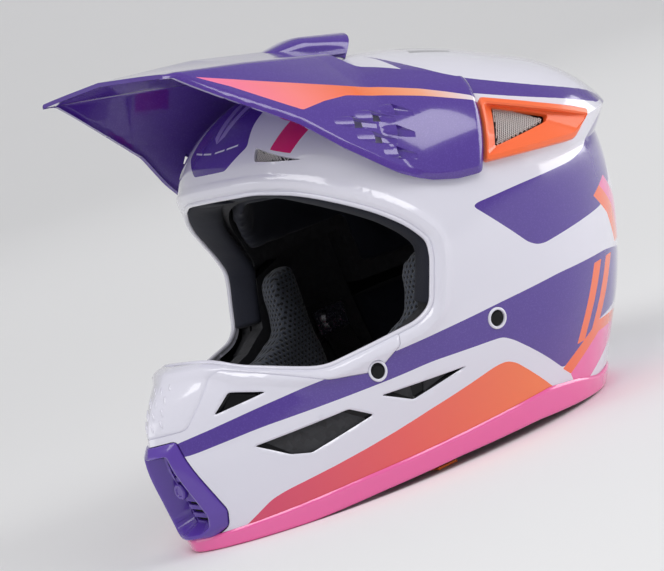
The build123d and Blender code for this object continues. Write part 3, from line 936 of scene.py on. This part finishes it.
def buildTrim():
    t = trimShape
    bm = skin(0.2, 26, 18, 300)
    outline = rounded(t["top"] + t["bottom"], 4.0, longest=9.0)
    keepOnly(bm, outline, "side", bothSides, rings=(0.7, 1.8))
    bm.verts.ensure_lookup_table()
    edge = np.minimum(*[distances(bm, outline, "side", side) for side in bothSides])
    raiseBy(bm, t["proud"] - 1.4 * np.clip(1 + edge / 1.8, 0, 1) ** 2)
    for vert in bm.verts:
        vert.co.z = max(vert.co.z, 0.05)
    piece = makePiece(bm, "bottomTrim", "helmet", [pinkLacquer], ("base_trim",))
    wallFrom(piece, t["wall"])
    low = min(v.co.z for v in piece.data.vertices)
    for vert in piece.data.vertices:
        vert.co.z = max(vert.co.z, 0.0) if low < 0 else vert.co.z
    return piece


def buildEyeRim():
    bm = bmesh.new()
    ringPoints = []
    upper = [p for p in eyeOutline if p[0] > -175]
    for side in bothSides:
        tube = []
        for i, p in enumerate(upper):
            if not skinTree.ray_cast(Vector((side * 400, *p)), Vector((-side, 0, 0)))[0]:
                continue
            tube.append(onSkin("side", p, side, -2.6))
        ringPoints.append(tube)
    whole = ringPoints[0] + ringPoints[1][::-1]
    section = 10
    rows = []
    count = len(whole)
    for i, at in enumerate(whole):
        along = (whole[(i + 1) % count] - whole[i - 1]).normalized()
        _, normal, _, _ = skinTree.find_nearest(at)
        across = along.cross(normal).normalized()
        out = across.cross(along)
        rows.append([at + (out * math.cos(t) * 1.9 + across * math.sin(t) * 1.5)
                     for t in np.linspace(0, 2 * math.pi, section, endpoint=False)])
    bridged(bm, rows, ringed=True)
    bmesh.ops.recalc_face_normals(bm, faces=bm.faces)
    return makePiece(bm, "eyeRim", "helmet", [whiteLacquer], ("eye_port_trim",))


# The mouthpiece: a bevelled purple frame round a deep funnel, with a slotted grille at its end.
mouthShape = {
    "outer": [(15, 69), (27, 22), (24, 12), (14, 7), (-14, 7), (-24, 12), (-27, 22), (-15, 69)],
    "inner": [(9.5, 62), (17.5, 22), (15.5, 15), (9.5, 12), (-9.5, 12), (-15.5, 15), (-17.5, 22), (-9.5, 62)],
    "rows": (8, 11, 14, 16.5, 19, 22, 24.5, 27.5, 30, 35.5, 41, 43.5, 46.5, 49, 52, 54.5, 58, 61, 64),
    "slots": (16.5, 22, 27.5, 41, 46.5, 52), "lean": 0.22, "halfTop": 9.5, "halfLow": 17.5, "spine": 2.4,
    "hub": (0, 35.5), "hubRadius": 5.0, "grilleDepth": -9.0, "filterDepth": -11.0,
}


def buildMouthPanel(name, depth, slots, thickness, material, replaced):
    m = mouthShape
    bm = bmesh.new()
    grid = []
    for z in m["rows"]:
        half = m["halfLow"] + (m["halfTop"] - m["halfLow"]) * min(1, max(0, (z - 22) / 40)) - 1.0
        columns = [m["spine"] + (half - 3.0 - m["spine"]) * k / 3 for k in range(4)] + [half]
        columns = [-x for x in columns[::-1]] + columns
        grid.append([bm.verts.new(onSkin("front", (x, z - m["lean"] * abs(x)), 1, depth))
                     for x in columns])
    for z, a, b in zip(m["rows"], grid, grid[1:]):
        for i in range(len(a) - 1):
            if z not in slots or i in (0, 4, 8):
                bm.faces.new((a[i], a[i + 1], b[i + 1], b[i]))
    bm.normal_update()
    pointOut(bm)
    piece = makePiece(bm, name, "mouthpiece", [material], (replaced,))
    wallFrom(piece, thickness)


def buildMouthpiece():
    m = mouthShape
    outer, inner = m["outer"], m["inner"]
    bm = bmesh.new()
    steps = [(loopOf(grown(outer, -0.5), 2.0), -11), (loopOf(grown(outer, -0.5), 2.0), -0.8),
             (loopOf(grown(outer, -0.9), 2.0), 0.4), (loopOf(grown(outer, -2.0), 2.0), 1.3),
             (loopOf(grown(inner, 1.5), 2.0), 3.4), (loopOf(grown(inner, 0.5), 2.0), 3.5),
             (loopOf(grown(inner, -0.3), 2.0), 2.6), (loopOf(grown(inner, -2.6), 2.0), -9.0),
             (loopOf(grown(inner, -2.6), 2.0), -11)]
    collar(bm, "front", 1, steps)
    piece = makePiece(bm, "mouthFrame", "mouthpiece", [purplePlastic],
                      ("mouthpiece_frame",))
    sharpen(piece, 30)
    buildMouthPanel("mouthGrille", m["grilleDepth"], m["slots"], 1.6, purplePlastic,
                    "mouth_grille")
    buildMouthPanel("mouthFilter", m["filterDepth"], (), 1.4, filterFoam, "mouth_filter")
    bm = bmesh.new()
    at = onSkin("front", m["hub"], 1, m["grilleDepth"])
    rows = []
    for radius, out in ((m["hubRadius"], -1.0), (m["hubRadius"], 0.6), (m["hubRadius"] * 0.85, 1.4),
                        (m["hubRadius"] * 0.6, 1.4), (m["hubRadius"] * 0.5, 0.8)):
        rows.append([at + Vector((radius * math.cos(t), -out, radius * math.sin(t)))
                     for t in np.linspace(0, 2 * math.pi, 28, endpoint=False)])
    made = bridged(bm, rows)
    bm.faces.new(made[-1])
    bmesh.ops.recalc_face_normals(bm, faces=bm.faces)
    piece = makePiece(bm, "mouthHub", "mouthpiece", [purplePlastic])
    sharpen(piece, 35)


def buildStuds():
    rings, plugs = bmesh.new(), bmesh.new()
    for stud in shellShape["studs"]:
        for side in bothSides:
            steps = [(6.4, -2.0), (6.4, 0.5), (6.1, 0.9), (5.6, 1.1), (5.1, 1.0), (4.8, 0.6), (4.7, -2.4),
                     (5.6, -2.6)]
            collar(rings, "side", side, [(circleOn(stud, radius), height) for radius, height in steps])
            rows = bridged(plugs, [[onSkin("side", p, side, height) for p in circleOn(stud, radius)]
                                   for radius, height in ((4.75, -2.0), (4.7, -0.5), (4.3, -0.1),
                                                          (2.4, -0.1))])
            plugs.faces.new(rows[-1])
    bmesh.ops.recalc_face_normals(rings, faces=rings.faces)
    pointOut(plugs)
    makePiece(rings, "studRings", "helmet", [whiteLacquer], ("stud_rings",))
    sharpen(makePiece(plugs, "studPlugs", "helmet", [glossBlack], ("stud_plugs",)), 50)


def buildChinInserts():
    bm = bmesh.new()
    for vent in shellShape["chinVents"]:
        for side in bothSides:
            dish(bm, "side", side, vent, 1.5, [(1.0, -2.0), (0.86, -2.6), (0.7, -3.9), (0.35, -4.2)])
    bm.normal_update()
    pointOut(bm)
    piece = makePiece(bm, "chinVentPanels", "helmet", [glossBlack], ("chin_vent_inserts",))
    return wallFrom(piece, 1.0, 25)


# The orange frame round each side vent, flush with the back of the visor.
def buildVentFrames():
    f = frameShape
    for side, name in ((1, "left"), (-1, "right")):
        bm = bmesh.new()
        outer, inner = f["outer"], f["inner"]
        steps = [(loopOf(outer, 3.0), -0.6), (loopOf(outer, 3.0), f["proud"] - 0.9),
                 (loopOf(grown(outer, -0.8), 3.0), f["proud"]), (loopOf(grown(outer, -3.4), 3.0),
                                                                 f["proud"] + 0.1),
                 (loopOf(grown(outer, -4.2), 3.0), f["proud"] - 0.7),
                 (loopOf(grown(inner, 1.2), 2.0), 0.4), (loopOf(inner, 2.0), 0.0), (loopOf(inner, 2.0), -3.0),
                 (loopOf(grown(inner, 2.0), 2.0), -3.0), (loopOf(grown(inner, 3.0), 2.0), -2.0),
                 (loopOf(grown(outer, -2.0), 3.0), -2.6)]
        collar(bm, "side", side, steps)
        piece = makePiece(bm, f"ventFrame_{name}", "helmet", [orangePlastic],
                          (f"side_vent_frame_{name}",))
        sharpen(piece, 22)


# Woven meshes: crossing wires on the skin, clipped to the vent.
meshShape = {"pitch": 1.3, "wire": 0.29, "depth": -1.7, "reach": 1.2}


def buildMesh(name, replaced, kind, outline):
    m = meshShape
    bm = bmesh.new()
    target = grown(outline, m["reach"])
    xs, ys = [p[0] for p in target], [p[1] for p in target]
    middle = (min(xs) + max(xs)) / 2, (min(ys) + max(ys)) / 2
    size = max(max(xs) - min(xs), max(ys) - min(ys))
    lines = int(size / m["pitch"]) + 2
    for side in bothSides:
        for lean in (55, -55):
            along = Vector((math.cos(math.radians(lean)), math.sin(math.radians(lean))))
            across = Vector((-along.y, along.x))
            for line in range(-lines, lines + 1):
                steps = np.linspace(-size, size, int(size * 2 / 2.0))
                spots = [Vector(middle) + across * line * m["pitch"] + along * s for s in steps]
                within = signedDistance([tuple(p) for p in spots], target) < 0
                last = None
                for p, kept in zip(spots, within):
                    if not kept:
                        last = None
                        continue
                    weave = 0.18 if lean > 0 else -0.18
                    vert = bm.verts.new(onSkin(kind, p, side, m["depth"] + weave))
                    if last is not None:
                        bm.edges.new((last, vert))
                    last = vert
    loose = [v for v in bm.verts if not v.link_edges]
    bmesh.ops.delete(bm, geom=loose, context="VERTS")
    return grownFrom(bm, wires, wireSockets, {"radius": m["wire"] * mm, "material": greyMesh}, name, "helmet",
                     replaced)


# The visor: its outside in cross-sections from the crown down to the foot of a wing.
visorShape = {
    "ribs": [(-140, [(0, 277), (66, 273), (78, 250), (86, 226)]),
             (-73, [(0, 271), (52, 262), (76, 238), (96, 204)]),
             (-15, [(0, 260), (42, 251), (88, 215), (118, 150)]),
             (50, [(0, 247), (38, 236), (92, 206), (122, 140)])],
    "side": [(-160, 300), (-150, 272), (-133, 270), (-73, 221), (-56, 200), (-32, 176), (-15, 165),
             (0, 160.5),
             (16, 159), (45, 212), (45, 300)],
    "notch": [(-60, 30), (22, 24), (27, -2), (40, -6), (52, -1), (74, 17), (94, 40), (96, 60), (92, 140),
              (-60, 140)],
    "wall": 2.5, "clear": 5.1, "creaseRadius": 2.5, "bulgeRadius": 16.0,
}


def openPath(points, radii, perRun=9, perTurn=5):
    path = [Vector(points[0])]
    for i in range(1, len(points) - 1):
        a, p, b = Vector(points[i - 1]), Vector(points[i]), Vector(points[i + 1])
        r = min(radii[i - 1], (a - p).length * 0.45, (b - p).length * 0.45)
        start, end = p + (a - p).normalized() * r, p + (b - p).normalized() * r
        path += [path[-1].lerp(start, k / perRun) for k in range(1, perRun)]
        path += [start * (1 - t) ** 2 + p * 2 * t * (1 - t) + end * t * t for t in np.linspace(0, 1, perTurn)]
    last = path[-1]
    path += [last.lerp(Vector(points[-1]), k / (perRun * 2)) for k in range(1, perRun * 2 + 1)]
    return path


def visorSection(y):
    ribs = visorShape["ribs"]
    ys = [rib[0] for rib in ribs]
    i = min(max(int(np.searchsorted(ys, y) - 1), 0), len(ribs) - 2)
    f = (y - ys[i]) / (ys[i + 1] - ys[i])
    return [Vector(a).lerp(Vector(b), f) for a, b in zip(ribs[i][1], ribs[i + 1][1])]


def visorGrid(stations=130):
    v = visorShape
    bm = bmesh.new()
    grid = []
    for y in np.linspace(-140, 50, stations):
        half = openPath(visorSection(y), (v["creaseRadius"], v["bulgeRadius"]))
        line = [(-p.x, p.y) for p in half[:0:-1]] + [(p.x, p.y) for p in half]
        row = []
        for x, z in line:
            at = Vector((x, y, z))
            height, _ = skinHeight(at)
            if height < v["clear"]:
                near, normal, _, _ = skinTree.find_nearest(at)
                at = near + normal * v["clear"]
            row.append(bm.verts.new(at))
        grid.append(row)
    for a, b in zip(grid, grid[1:]):
        for i in range(len(a) - 1):
            bm.faces.new((a[i], a[i + 1], b[i + 1], b[i]))
    bm.normal_update()
    return bm


def visorSkin():
    v = visorShape
    bm = visorGrid()
    outline = rounded(v["side"], 3.0, longest=9.0)
    keepOnly(bm, outline, "side", bothSides, rings=(1.2, 4.2))
    window(bm, rounded(v["notch"], 2.0), "top", bothSides, rings=(1.2,))
    return bm, outline


# The painted wedge and the gills on each wing.
visorArt = {
    "wedge": [(-118.6, 264.8), (-95.6, 256.8), (-58, 243), (-31.7, 233.2), (-5.4, 223), (11.8, 215),
              (48, 195),
              (46, 193.5), (8.3, 211.2), (-10, 218.6), (-31, 225.6), (-48, 227.2), (-66, 227), (-78.8, 236.8),
              (-100, 253.2)],
    "gills": [(-20.8, 213.2, -3.4, 205.5), (-38.7, 215, -14.8, 205.8), (-54.6, 216, -27, 205.6),
              (-27.8, 201.7, -10.5, 194.1), (-46.7, 203.8, -21.8, 193.8), (-35.7, 190.2, -16.4, 182.2)],
    "gillHeight": 7.6, "gillDepth": 2.2, "gillRise": 1.3, "openGills": (1, 2, 4), "edgeBand": 4.2,
}


def gillFrame(gill):
    start, end = Vector(gill[:2]), Vector(gill[2:])
    along = (end - start).normalized()
    return start, along, Vector((-along.y, along.x)), (end - start).length


def gillPocket(gill):
    start, along, across, length = gillFrame(gill)
    step, half = length * 0.5, visorArt["gillHeight"] / 2
    corners = ((step, half), (step, -half), (length, -half), (length, -half * 0.1))
    return [tuple(start + along * t + across * w) for t, w in corners]


# Each gill is a raised bullet nose that ends at a step, and behind it a pocket that runs out to the
# surface. Three pockets are open at the step.
def buildGills(bodyTree):
    art = visorArt
    bm = bmesh.new()
    for side in bothSides:
        for index, gill in enumerate(art["gills"]):
            start, along, across, length = gillFrame(gill)
            step, half = length * 0.5, art["gillHeight"] / 2
            for behind in (False, True):
                grid = []
                for t in np.linspace(0, 1, 13):
                    row = []
                    for w in np.linspace(-1, 1, 11):
                        if behind:
                            top = half * (1 - 1.1 * t)
                            at = start + along * (step + (length - step) * t)
                            at = at + across * (top + (w - 1) * (top + half) / 2)
                            height = -art["gillDepth"] * (1 - t) * (1 - abs(w) ** 6) - 0.1
                        else:
                            wide = half * math.sqrt(1 - (1 - t) ** 2)
                            at = start + along * step * t + across * w * wide
                            height = art["gillRise"] * t * (1 - w ** 4) - 0.25
                        spot = bodyTree.ray_cast(Vector((side * 400, *at)), Vector((-side, 0, 0)))
                        row.append(bm.verts.new(spot[0] + spot[1] * height))
                    grid.append(row)
                for row, (a, b) in enumerate(zip(grid, grid[1:])):
                    opened = behind and row < 5 and index in art["openGills"]
                    for i in range(10):
                        if not (opened and 1 < i < 8):
                            bm.faces.new((a[i], a[i + 1], b[i + 1], b[i]))
                if behind:
                    for i in range(10):
                        low = [bm.verts.new(v.co) for v in grid[0][i:i + 2]]
                        bm.faces.new((*low, lip[i + 1], lip[i]))
                lip = grid[-1]
    bmesh.ops.remove_doubles(bm, verts=bm.verts, dist=0.01)
    bm.normal_update()
    for face in bm.faces:
        if face.normal.x * face.calc_center_median().x < 0:
            face.normal_flip()
    sharpen(makePiece(bm, "peakGills", "visor", [purpleLacquer]), 40)


def buildVisor():
    v, art = visorShape, visorArt
    bm, outline = visorSkin()
    paint(bm, rounded(art["wedge"], 1.5, longest=12.0), "side", bothSides, 1)
    inner = grown(outline, -art["edgeBand"])
    for side in bothSides:
        seen = [f for f in bm.faces if seenIn("side", f.calc_center_median(), side)]
        far = signedDistance([viewOf("side", f.calc_center_median(), side) for f in seen], inner)
        for face, d in zip(seen, far):
            if d > 0 and face.calc_center_median().y < 14:
                face.material_index = 2
    bm.verts.ensure_lookup_table()
    edge = np.minimum(*[distances(bm, outline, "side", side) for side in bothSides])
    raiseBy(bm, -1.8 * np.clip(1 + edge / art["edgeBand"], 0, 1) ** 2)
    buildGills(BVHTree.FromBMesh(bm))
    for gill in art["gills"]:
        window(bm, gillPocket(gill), "side", bothSides)
    piece = makePiece(bm, "peak", "visor", [purpleLacquer, wedgePaint, deepPurple],
                      ("visor",))
    return wallFrom(piece, v["wall"], 30, lined=True)


# The raised scoop on top of the visor, open to the rear.
scoopShape = {"front": -30.0, "back": 33.0, "halfWidth": (7.0, 22.0), "rise": (-0.5, 7.0), "risen": 0.55,
              "skirt": 8.0, "overhang": 13.0, "wall": 1.8}


screwShape = {"steps": [(2.4, 246.0), (2.4, 258.9), (4.6, 258.9), (5.0, 259.3), (5.0, 260.2), (4.4, 260.8)]}


def buildScrew():
    bm = bmesh.new()
    rows = bridged(bm, [[Vector((radius * math.cos(t), radius * math.sin(t), z))
                         for t in np.linspace(0, 2 * math.pi, 32,
                                              endpoint=False)] for radius, z in screwShape["steps"]])
    bm.faces.new(rows[0])
    bm.faces.new(rows[-1])
    bmesh.ops.recalc_face_normals(bm, faces=bm.faces)
    sharpen(makePiece(bm, "peakScrew", "helmet", [steel], ("visor_screw",)), 40)


def buildScoop():
    c = scoopShape
    bm = bmesh.new()
    rows = []
    for t in np.linspace(0, 1, 34):
        y = c["front"] + (c["back"] - c["front"]) * t
        floor = visorSection(y)[0].y - 0.5
        half = c["halfWidth"][0] + (c["halfWidth"][1] - c["halfWidth"][0]) * t ** 0.8
        rise = c["rise"][0] + (c["rise"][1] - c["rise"][0]) * float(smoothStep(0, c["risen"], t))
        row = []
        for turn in np.linspace(0, math.pi, 33):
            x = -half * math.copysign(abs(math.cos(turn)) ** 0.75, math.cos(turn))
            z = floor - c["skirt"] + (rise + c["skirt"]) * abs(math.sin(turn)) ** 0.6
            row.append(bm.verts.new((x, y - c["overhang"] * t ** 4 * (1 - abs(math.sin(turn)) ** 0.6), z)))
        rows.append(row)
    for a, b in zip(rows, rows[1:]):
        for i in range(len(a) - 1):
            bm.faces.new((a[i], a[i + 1], b[i + 1], b[i]))
    bm.normal_update()
    for face in bm.faces:
        if face.normal.z < 0:
            face.normal_flip()
    piece = makePiece(bm, "peakScoop", "visor", [purpleLacquer], ("visor_scoop",))
    return wallFrom(piece, c["wall"], 40)


# Padded pieces: the CAD's shape, remeshed and blown up a little by cloth simulation.
padShape = {"voxel": 0.0046, "pressure": 4.0, "cap": 0.0035, "frames": 20}


def cleanCopy(names):
    bm = bmesh.new()
    for name in names:
        bm.from_mesh(nodes[name].data)
    bmesh.ops.remove_doubles(bm, verts=bm.verts, dist=1e-5)
    return bm


def softened(bm, rounds, factor=0.5):
    for _ in range(rounds):
        bmesh.ops.smooth_vert(bm, verts=bm.verts, factor=factor, use_axis_x=True, use_axis_y=True,
                              use_axis_z=True)


def padFrom(name, cadNodes, body, material, fill):
    p = padShape
    bm = cleanCopy(cadNodes)
    mesh = bpy.data.meshes.new(name)
    bm.to_mesh(mesh)
    bm.free()
    piece = bpy.data.objects.new(name, mesh)
    bpy.context.scene.collection.objects.link(piece)
    applied(piece, ("REMESH", {"mode": "VOXEL", "voxel_size": p["voxel"]}))
    bm = bmesh.new()
    bm.from_mesh(piece.data)
    softened(bm, 3)
    bm.to_mesh(piece.data)
    bm.free()
    rest = np.array([v.co for v in piece.data.vertices])
    cloth = piece.modifiers.new("Cloth", "CLOTH")
    cloth.settings.use_pressure = True
    cloth.settings.uniform_pressure_force = p["pressure"] * fill
    cloth.settings.effector_weights.gravity = 0.0
    cloth.settings.quality = 4
    cloth.settings.tension_stiffness = 12
    cloth.settings.compression_stiffness = 12
    cloth.point_cache.frame_start = 1
    cloth.point_cache.frame_end = p["frames"]
    scene = bpy.context.scene
    for step in range(1, p["frames"] + 1):
        scene.frame_set(step)
    made = bpy.data.meshes.new_from_object(piece.evaluated_get(bpy.context.evaluated_depsgraph_get()))
    blown = np.array([v.co for v in made.vertices])
    bpy.data.meshes.remove(made)
    piece.modifiers.clear()
    scene.frame_set(1)
    move = blown - rest
    length = np.linalg.norm(move, axis=1, keepdims=True)
    move *= np.minimum(1.0, p["cap"] / np.maximum(length, 1e-9))
    for vert, at in zip(piece.data.vertices, rest + move):
        vert.co = at
    applied(piece, ("SUBSURF", {"levels": 1, "render_levels": 1}))
    piece.data.materials.clear()
    piece.data.materials.append(material)
    piece.data.shade_smooth()
    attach(piece, body)
    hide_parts(*cadNodes)
    return piece


# The dark padding that lines the eye port, over the brow and down both sides.
browShape = {"steps": [(-0.6, -3.4), (-2.2, -6.0), (-3.2, -13.0), (-3.6, -21.0), (-2.4, -25.0), (1.0, -25.5),
                       (2.6, -20.0), (2.6, -6.0), (1.4, -3.6)], "lowest": 96.0}


def buildBrowBand():
    bm = bmesh.new()
    for side in bothSides:
        base = [p for p in rounded(shellShape["eyePort"], 9.0, longest=4.0)]
        kept = []
        for i, p in enumerate(base):
            reaches = skinTree.ray_cast(Vector((side * 400, *p)), Vector((-side, 0, 0)))[0]
            if reaches and p[1] > browShape["lowest"] and p[0] < 0 and reaches.y > -120:
                kept.append(i)
        start = min(kept, key=lambda i: (base[i][0], -base[i][1]))
        kept.sort(key=lambda i: (i - start) % len(base))
        rows = []
        for reach, depth in browShape["steps"]:
            outline = grown(base, reach)
            row = []
            for i in kept:
                at = skinTree.ray_cast(Vector((side * 400, *outline[i])), Vector((-side, 0, 0)))
                if at[0] is None:
                    at = skinTree.find_nearest(Vector((side * 2, *outline[i])))
                row.append(at[0] + at[1] * depth)
            rows.append(row)
        made = [[bm.verts.new(p) for p in row] for row in rows]
        for a, b in zip(made, made[1:] + made[:1]):
            for i in range(len(a) - 1):
                bm.faces.new((a[i], a[i + 1], b[i + 1], b[i]))
        for end in (0, -1):
            bm.faces.new([row[end] for row in made])
    bmesh.ops.recalc_face_normals(bm, faces=bm.faces)
    piece = makePiece(bm, "browBand", "helmet", [linerCloth], ("brow_pad",))
    applied(piece, ("SUBSURF", {"levels": 1, "render_levels": 1}))
    piece.data.shade_smooth()


# The chin strap's webbing, as flat tape along the route of the CAD's strips.
strapShape = {"y": 34.0, "width": 22.0, "thick": 1.9,
              "long": [(93.9, 71.5), (84, 36), (52, 16), (14, 12.5), (-26, 13.5), (-48, 28.9), (-72, 28.9)],
              "short": [(-93.9, 71.5), (-84, 52), (-62, 36)], "loop": (-67.0, -51.5, 30.4, 37.4)}


def tape(bm, route, width, thick, y, radius=14.0):
    path = []
    for i, p in enumerate(route):
        p = Vector(p)
        if i in (0, len(route) - 1):
            path.append(p)
            continue
        a, b = Vector(route[i - 1]), Vector(route[i + 1])
        r = min(radius, (a - p).length * 0.45, (b - p).length * 0.45)
        start, end = p + (a - p).normalized() * r, p + (b - p).normalized() * r
        path += [start * (1 - t) ** 2 + p * 2 * t * (1 - t) + end * t * t for t in np.linspace(0, 1, 9)]
    rows = []
    across = [(-0.5, -0.3), (-0.46, -0.5), (-0.4, -0.5), (-0.38, -0.42), (0.38, -0.42), (0.4, -0.5),
              (0.46, -0.5),
              (0.5, -0.3), (0.5, 0.3), (0.46, 0.5), (0.4, 0.5), (0.38, 0.42), (-0.38, 0.42), (-0.4, 0.5),
              (-0.46, 0.5), (-0.5, 0.3)]
    for i, p in enumerate(path):
        along = (path[min(i + 1, len(path) - 1)] - path[max(i - 1, 0)]).normalized()
        out = Vector((-along.y, along.x))
        rows.append([Vector((p.x + out.x * v * thick, y + u * width, p.y + out.y * v * thick)) for u,
                     v in across])
    made = bridged(bm, rows)
    bm.faces.new(made[0])
    bm.faces.new(made[-1])
    bmesh.ops.recalc_face_normals(bm, faces=bm.faces)


def buildStraps():
    s = strapShape
    bm = bmesh.new()
    tape(bm, s["long"], s["width"], s["thick"], s["y"])
    piece = makePiece(bm, "longStrap", "chin_strap", [blackWebbing], ("long_webbing",))
    sharpen(piece, 50)
    bm = bmesh.new()
    x0, x1, z0, z1 = s["loop"]
    top, low = z1 - 0.9, z0 + 0.9
    around = s["short"][:-1] + [(-68.5, top + 1), (x0 + 1, top), (x1 - 2, top), (x1, (top + low) / 2),
                                (x1 - 2, low), (x0, low)]
    tape(bm, around, s["width"], s["thick"], s["y"], radius=5.0)
    piece = makePiece(bm, "shortStrap", "chin_strap", [blackWebbing], ("short_webbing",))
    sharpen(piece, 50)
    spots = []
    for y in np.linspace(s["y"] - 8.5, s["y"] + 8.5, 8):
        for x, z in ((-64.5, z1 + 0.05), (-54.5, z1 + 0.05)):
            spots.append((Vector((x, y, z)), Vector((0, 0, 1))))
    stitches = pointsWithNormals(spots)
    grownFrom(stitches, bars, barSockets, {"size": (0.0006, 0.0018, 0.0005), "lean": 0.0,
                                           "material": orangeWebbing},
              "strapStitches", "chin_strap")


def buildTabs():
    for side, name in ((1, "left"), (-1, "right")):
        bm = bmesh.new()
        route = [(side * 66.8, 19.6), (side * 66.8, 3.2), (side * 69, 1.7), (side * 80, 1.7)]
        tape(bm, route, 15.0, 1.5, -44.5, radius=3.0)
        piece = makePiece(bm, f"releaseTab_{name}", f"cheek_{name}", [orangeWebbing],
                          (f"cheek_release_tab_{name}",))
        sharpen(piece, 50)


# CAD pieces that keep their shape take a finish here.
finishes = {
    "visor_pivot_pins": blackPlastic,
    "visor_boss": blackPlastic, "d_ring_outer": steel, "d_ring_inner": steel,
    "strap_anchor_plates": steel, "strap_rivets": steel, "crown_impact_liner": impactFoam,
    "side_impact_liners": impactFoam, "chin_impact_liner": impactFoam, "cheek_block_left": impactFoam,
    "cheek_block_right": impactFoam,
}

buildCover()
buildCoverRibs()
buildTrim()
buildEyeRim()
print("chin and trims ready")
buildMouthpiece()
buildStuds()
buildChinInserts()
buildVentFrames()
buildMesh("sideMeshes", ("side_vent_meshes",), "side", shellShape["sideWindow"])
buildMesh("browMeshes", ("brow_vent_meshes",), "front", shellShape["browVent"])
buildMesh("rearMeshes", ("rear_vent_meshes",), "back", shellShape["rearVent"])
print("vents ready")
buildVisor()
buildScoop()
buildScrew()
print("visor ready")
padFrom("crownPad", ["comfort_liner"], "helmet", linerCloth, 0.5)
buildBrowBand()
padFrom("neckCushion", ["neck_roll"], "helmet", linerCloth, 0.6)
for side in ("left", "right"):
    padFrom(f"cheekCushion_{side}", [f"cheek_pad_{side}"], f"cheek_{side}", padMesh, 0.6)
print("pads ready")
buildStraps()
buildTabs()
for name, finish in finishes.items():
    nodes[name].data.materials.clear() if not nodes[name].material_slots else None
    for cadSlot in nodes[name].material_slots:
        cadSlot.link = "OBJECT"
        cadSlot.material = finish
print("straps and finishes ready")

# Studio and camera.
studio = {"lens": 166.4, "eye": (1496.94, -1105.92, 348.62),
          "right": (0.5878, 0.7480, -0.3083), "up": (0.0846, 0.3222, 0.9429), "back": (0.8046, -0.5803,
                                                                                       0.1261),
          "floorSize": 6.0, "backdropHeight": 4.0, "floorColour": (0.86, 0.86, 0.865)}


def buildStudio():
    camera = bpy.data.cameras.new("camera")
    camera.lens = studio["lens"]
    camera.clip_end = 50
    cameraObject = bpy.data.objects.new("camera", camera)
    bpy.context.scene.collection.objects.link(cameraObject)
    turn = Matrix([studio["right"], studio["up"], studio["back"]]).transposed().to_4x4()
    cameraObject.matrix_world = Matrix.Translation(place(*studio["eye"])) @ turn
    bpy.context.scene.camera = cameraObject
    bm = bmesh.new()
    size, rise = studio["floorSize"], studio["backdropHeight"]
    profile = [(-size, 0.0), (size * 0.45, 0.0)]
    profile += [(size * 0.45 + rise * 0.5 * math.sin(t), rise * 0.5 * (1 - math.cos(t)))
                for t in np.linspace(0.1, math.pi / 2, 14)]
    profile.append((profile[-1][0], rise * 2))
    away = -Vector(studio["back"]).to_2d().normalized()
    across = Vector((away.y, -away.x))
    grid = []
    for along, z in profile:
        grid.append([bm.verts.new((*(away * along + across * s * size), z)) for s in (-1.6, 1.6)])
    for a, b in zip(grid, grid[1:]):
        bm.faces.new((a[0], a[1], b[1], b[0]))
    bmesh.ops.recalc_face_normals(bm, faces=bm.faces)
    mesh = bpy.data.meshes.new("floor")
    bm.to_mesh(mesh)
    bm.free()
    mesh.shade_smooth()
    material, tree, shader = blankMaterial("floorPaper")
    where = node(tree, "ShaderNodeTexCoord").outputs["Object"]
    cloud = node(tree, "ShaderNodeTexNoise", {"Vector": where}, in_Scale=0.4)
    tint = mixed(tree, cloud.outputs[0], studio["floorColour"],
                 tuple(c * 0.985 for c in studio["floorColour"]))
    tree.links.new(tint, shader.inputs["Base Color"])
    shader.inputs["Roughness"].default_value = 0.95
    mesh.materials.append(material)
    floor = bpy.data.objects.new("floor", mesh)
    bpy.context.scene.collection.objects.link(floor)


def areaLight(name, where, target, size, power, colour=(1, 1, 1)):
    light = bpy.data.lights.new(name, "AREA")
    light.shape = "RECTANGLE"
    light.size, light.size_y = size
    light.energy = power
    light.color = colour
    lamp = bpy.data.objects.new(name, light)
    aim = (Vector(target) - Vector(where)).to_track_quat("-Z", "Y")
    lamp.matrix_world = Matrix.Translation(where) @ aim.to_matrix().to_4x4()
    bpy.context.scene.collection.objects.link(lamp)


def buildLights():
    world = bpy.data.worlds.new("world")
    world.use_nodes = True
    world.node_tree.nodes["Background"].inputs[0].default_value = (0.93, 0.93, 0.95, 1)
    world.node_tree.nodes["Background"].inputs[1].default_value = 0.43
    bpy.context.scene.world = world
    areaLight("keyLight", (0.5, -0.9, 1.9), (0, 0, 0.12), (1.4, 1.0), 15)
    areaLight("sideLight", (0.78, 2.05, 0.45), (0, 0, 0.12), (1.7, 1.2), 18)
    areaLight("topLight", (1.35, 0.5, 1.5), (0, 0, 0.16), (1.0, 0.9), 9)
    areaLight("frontLight", (-0.6, -1.9, 0.6), (0, 0, 0.12), (1.0, 1.2), 5)
    areaLight("backdropLight", (-1.3, 0.95, 2.2), (-3.2, 2.3, 0.4), (2.6, 1.6), 20)


buildStudio()
buildLights()
bpy.context.scene.view_settings.view_transform = "Standard"
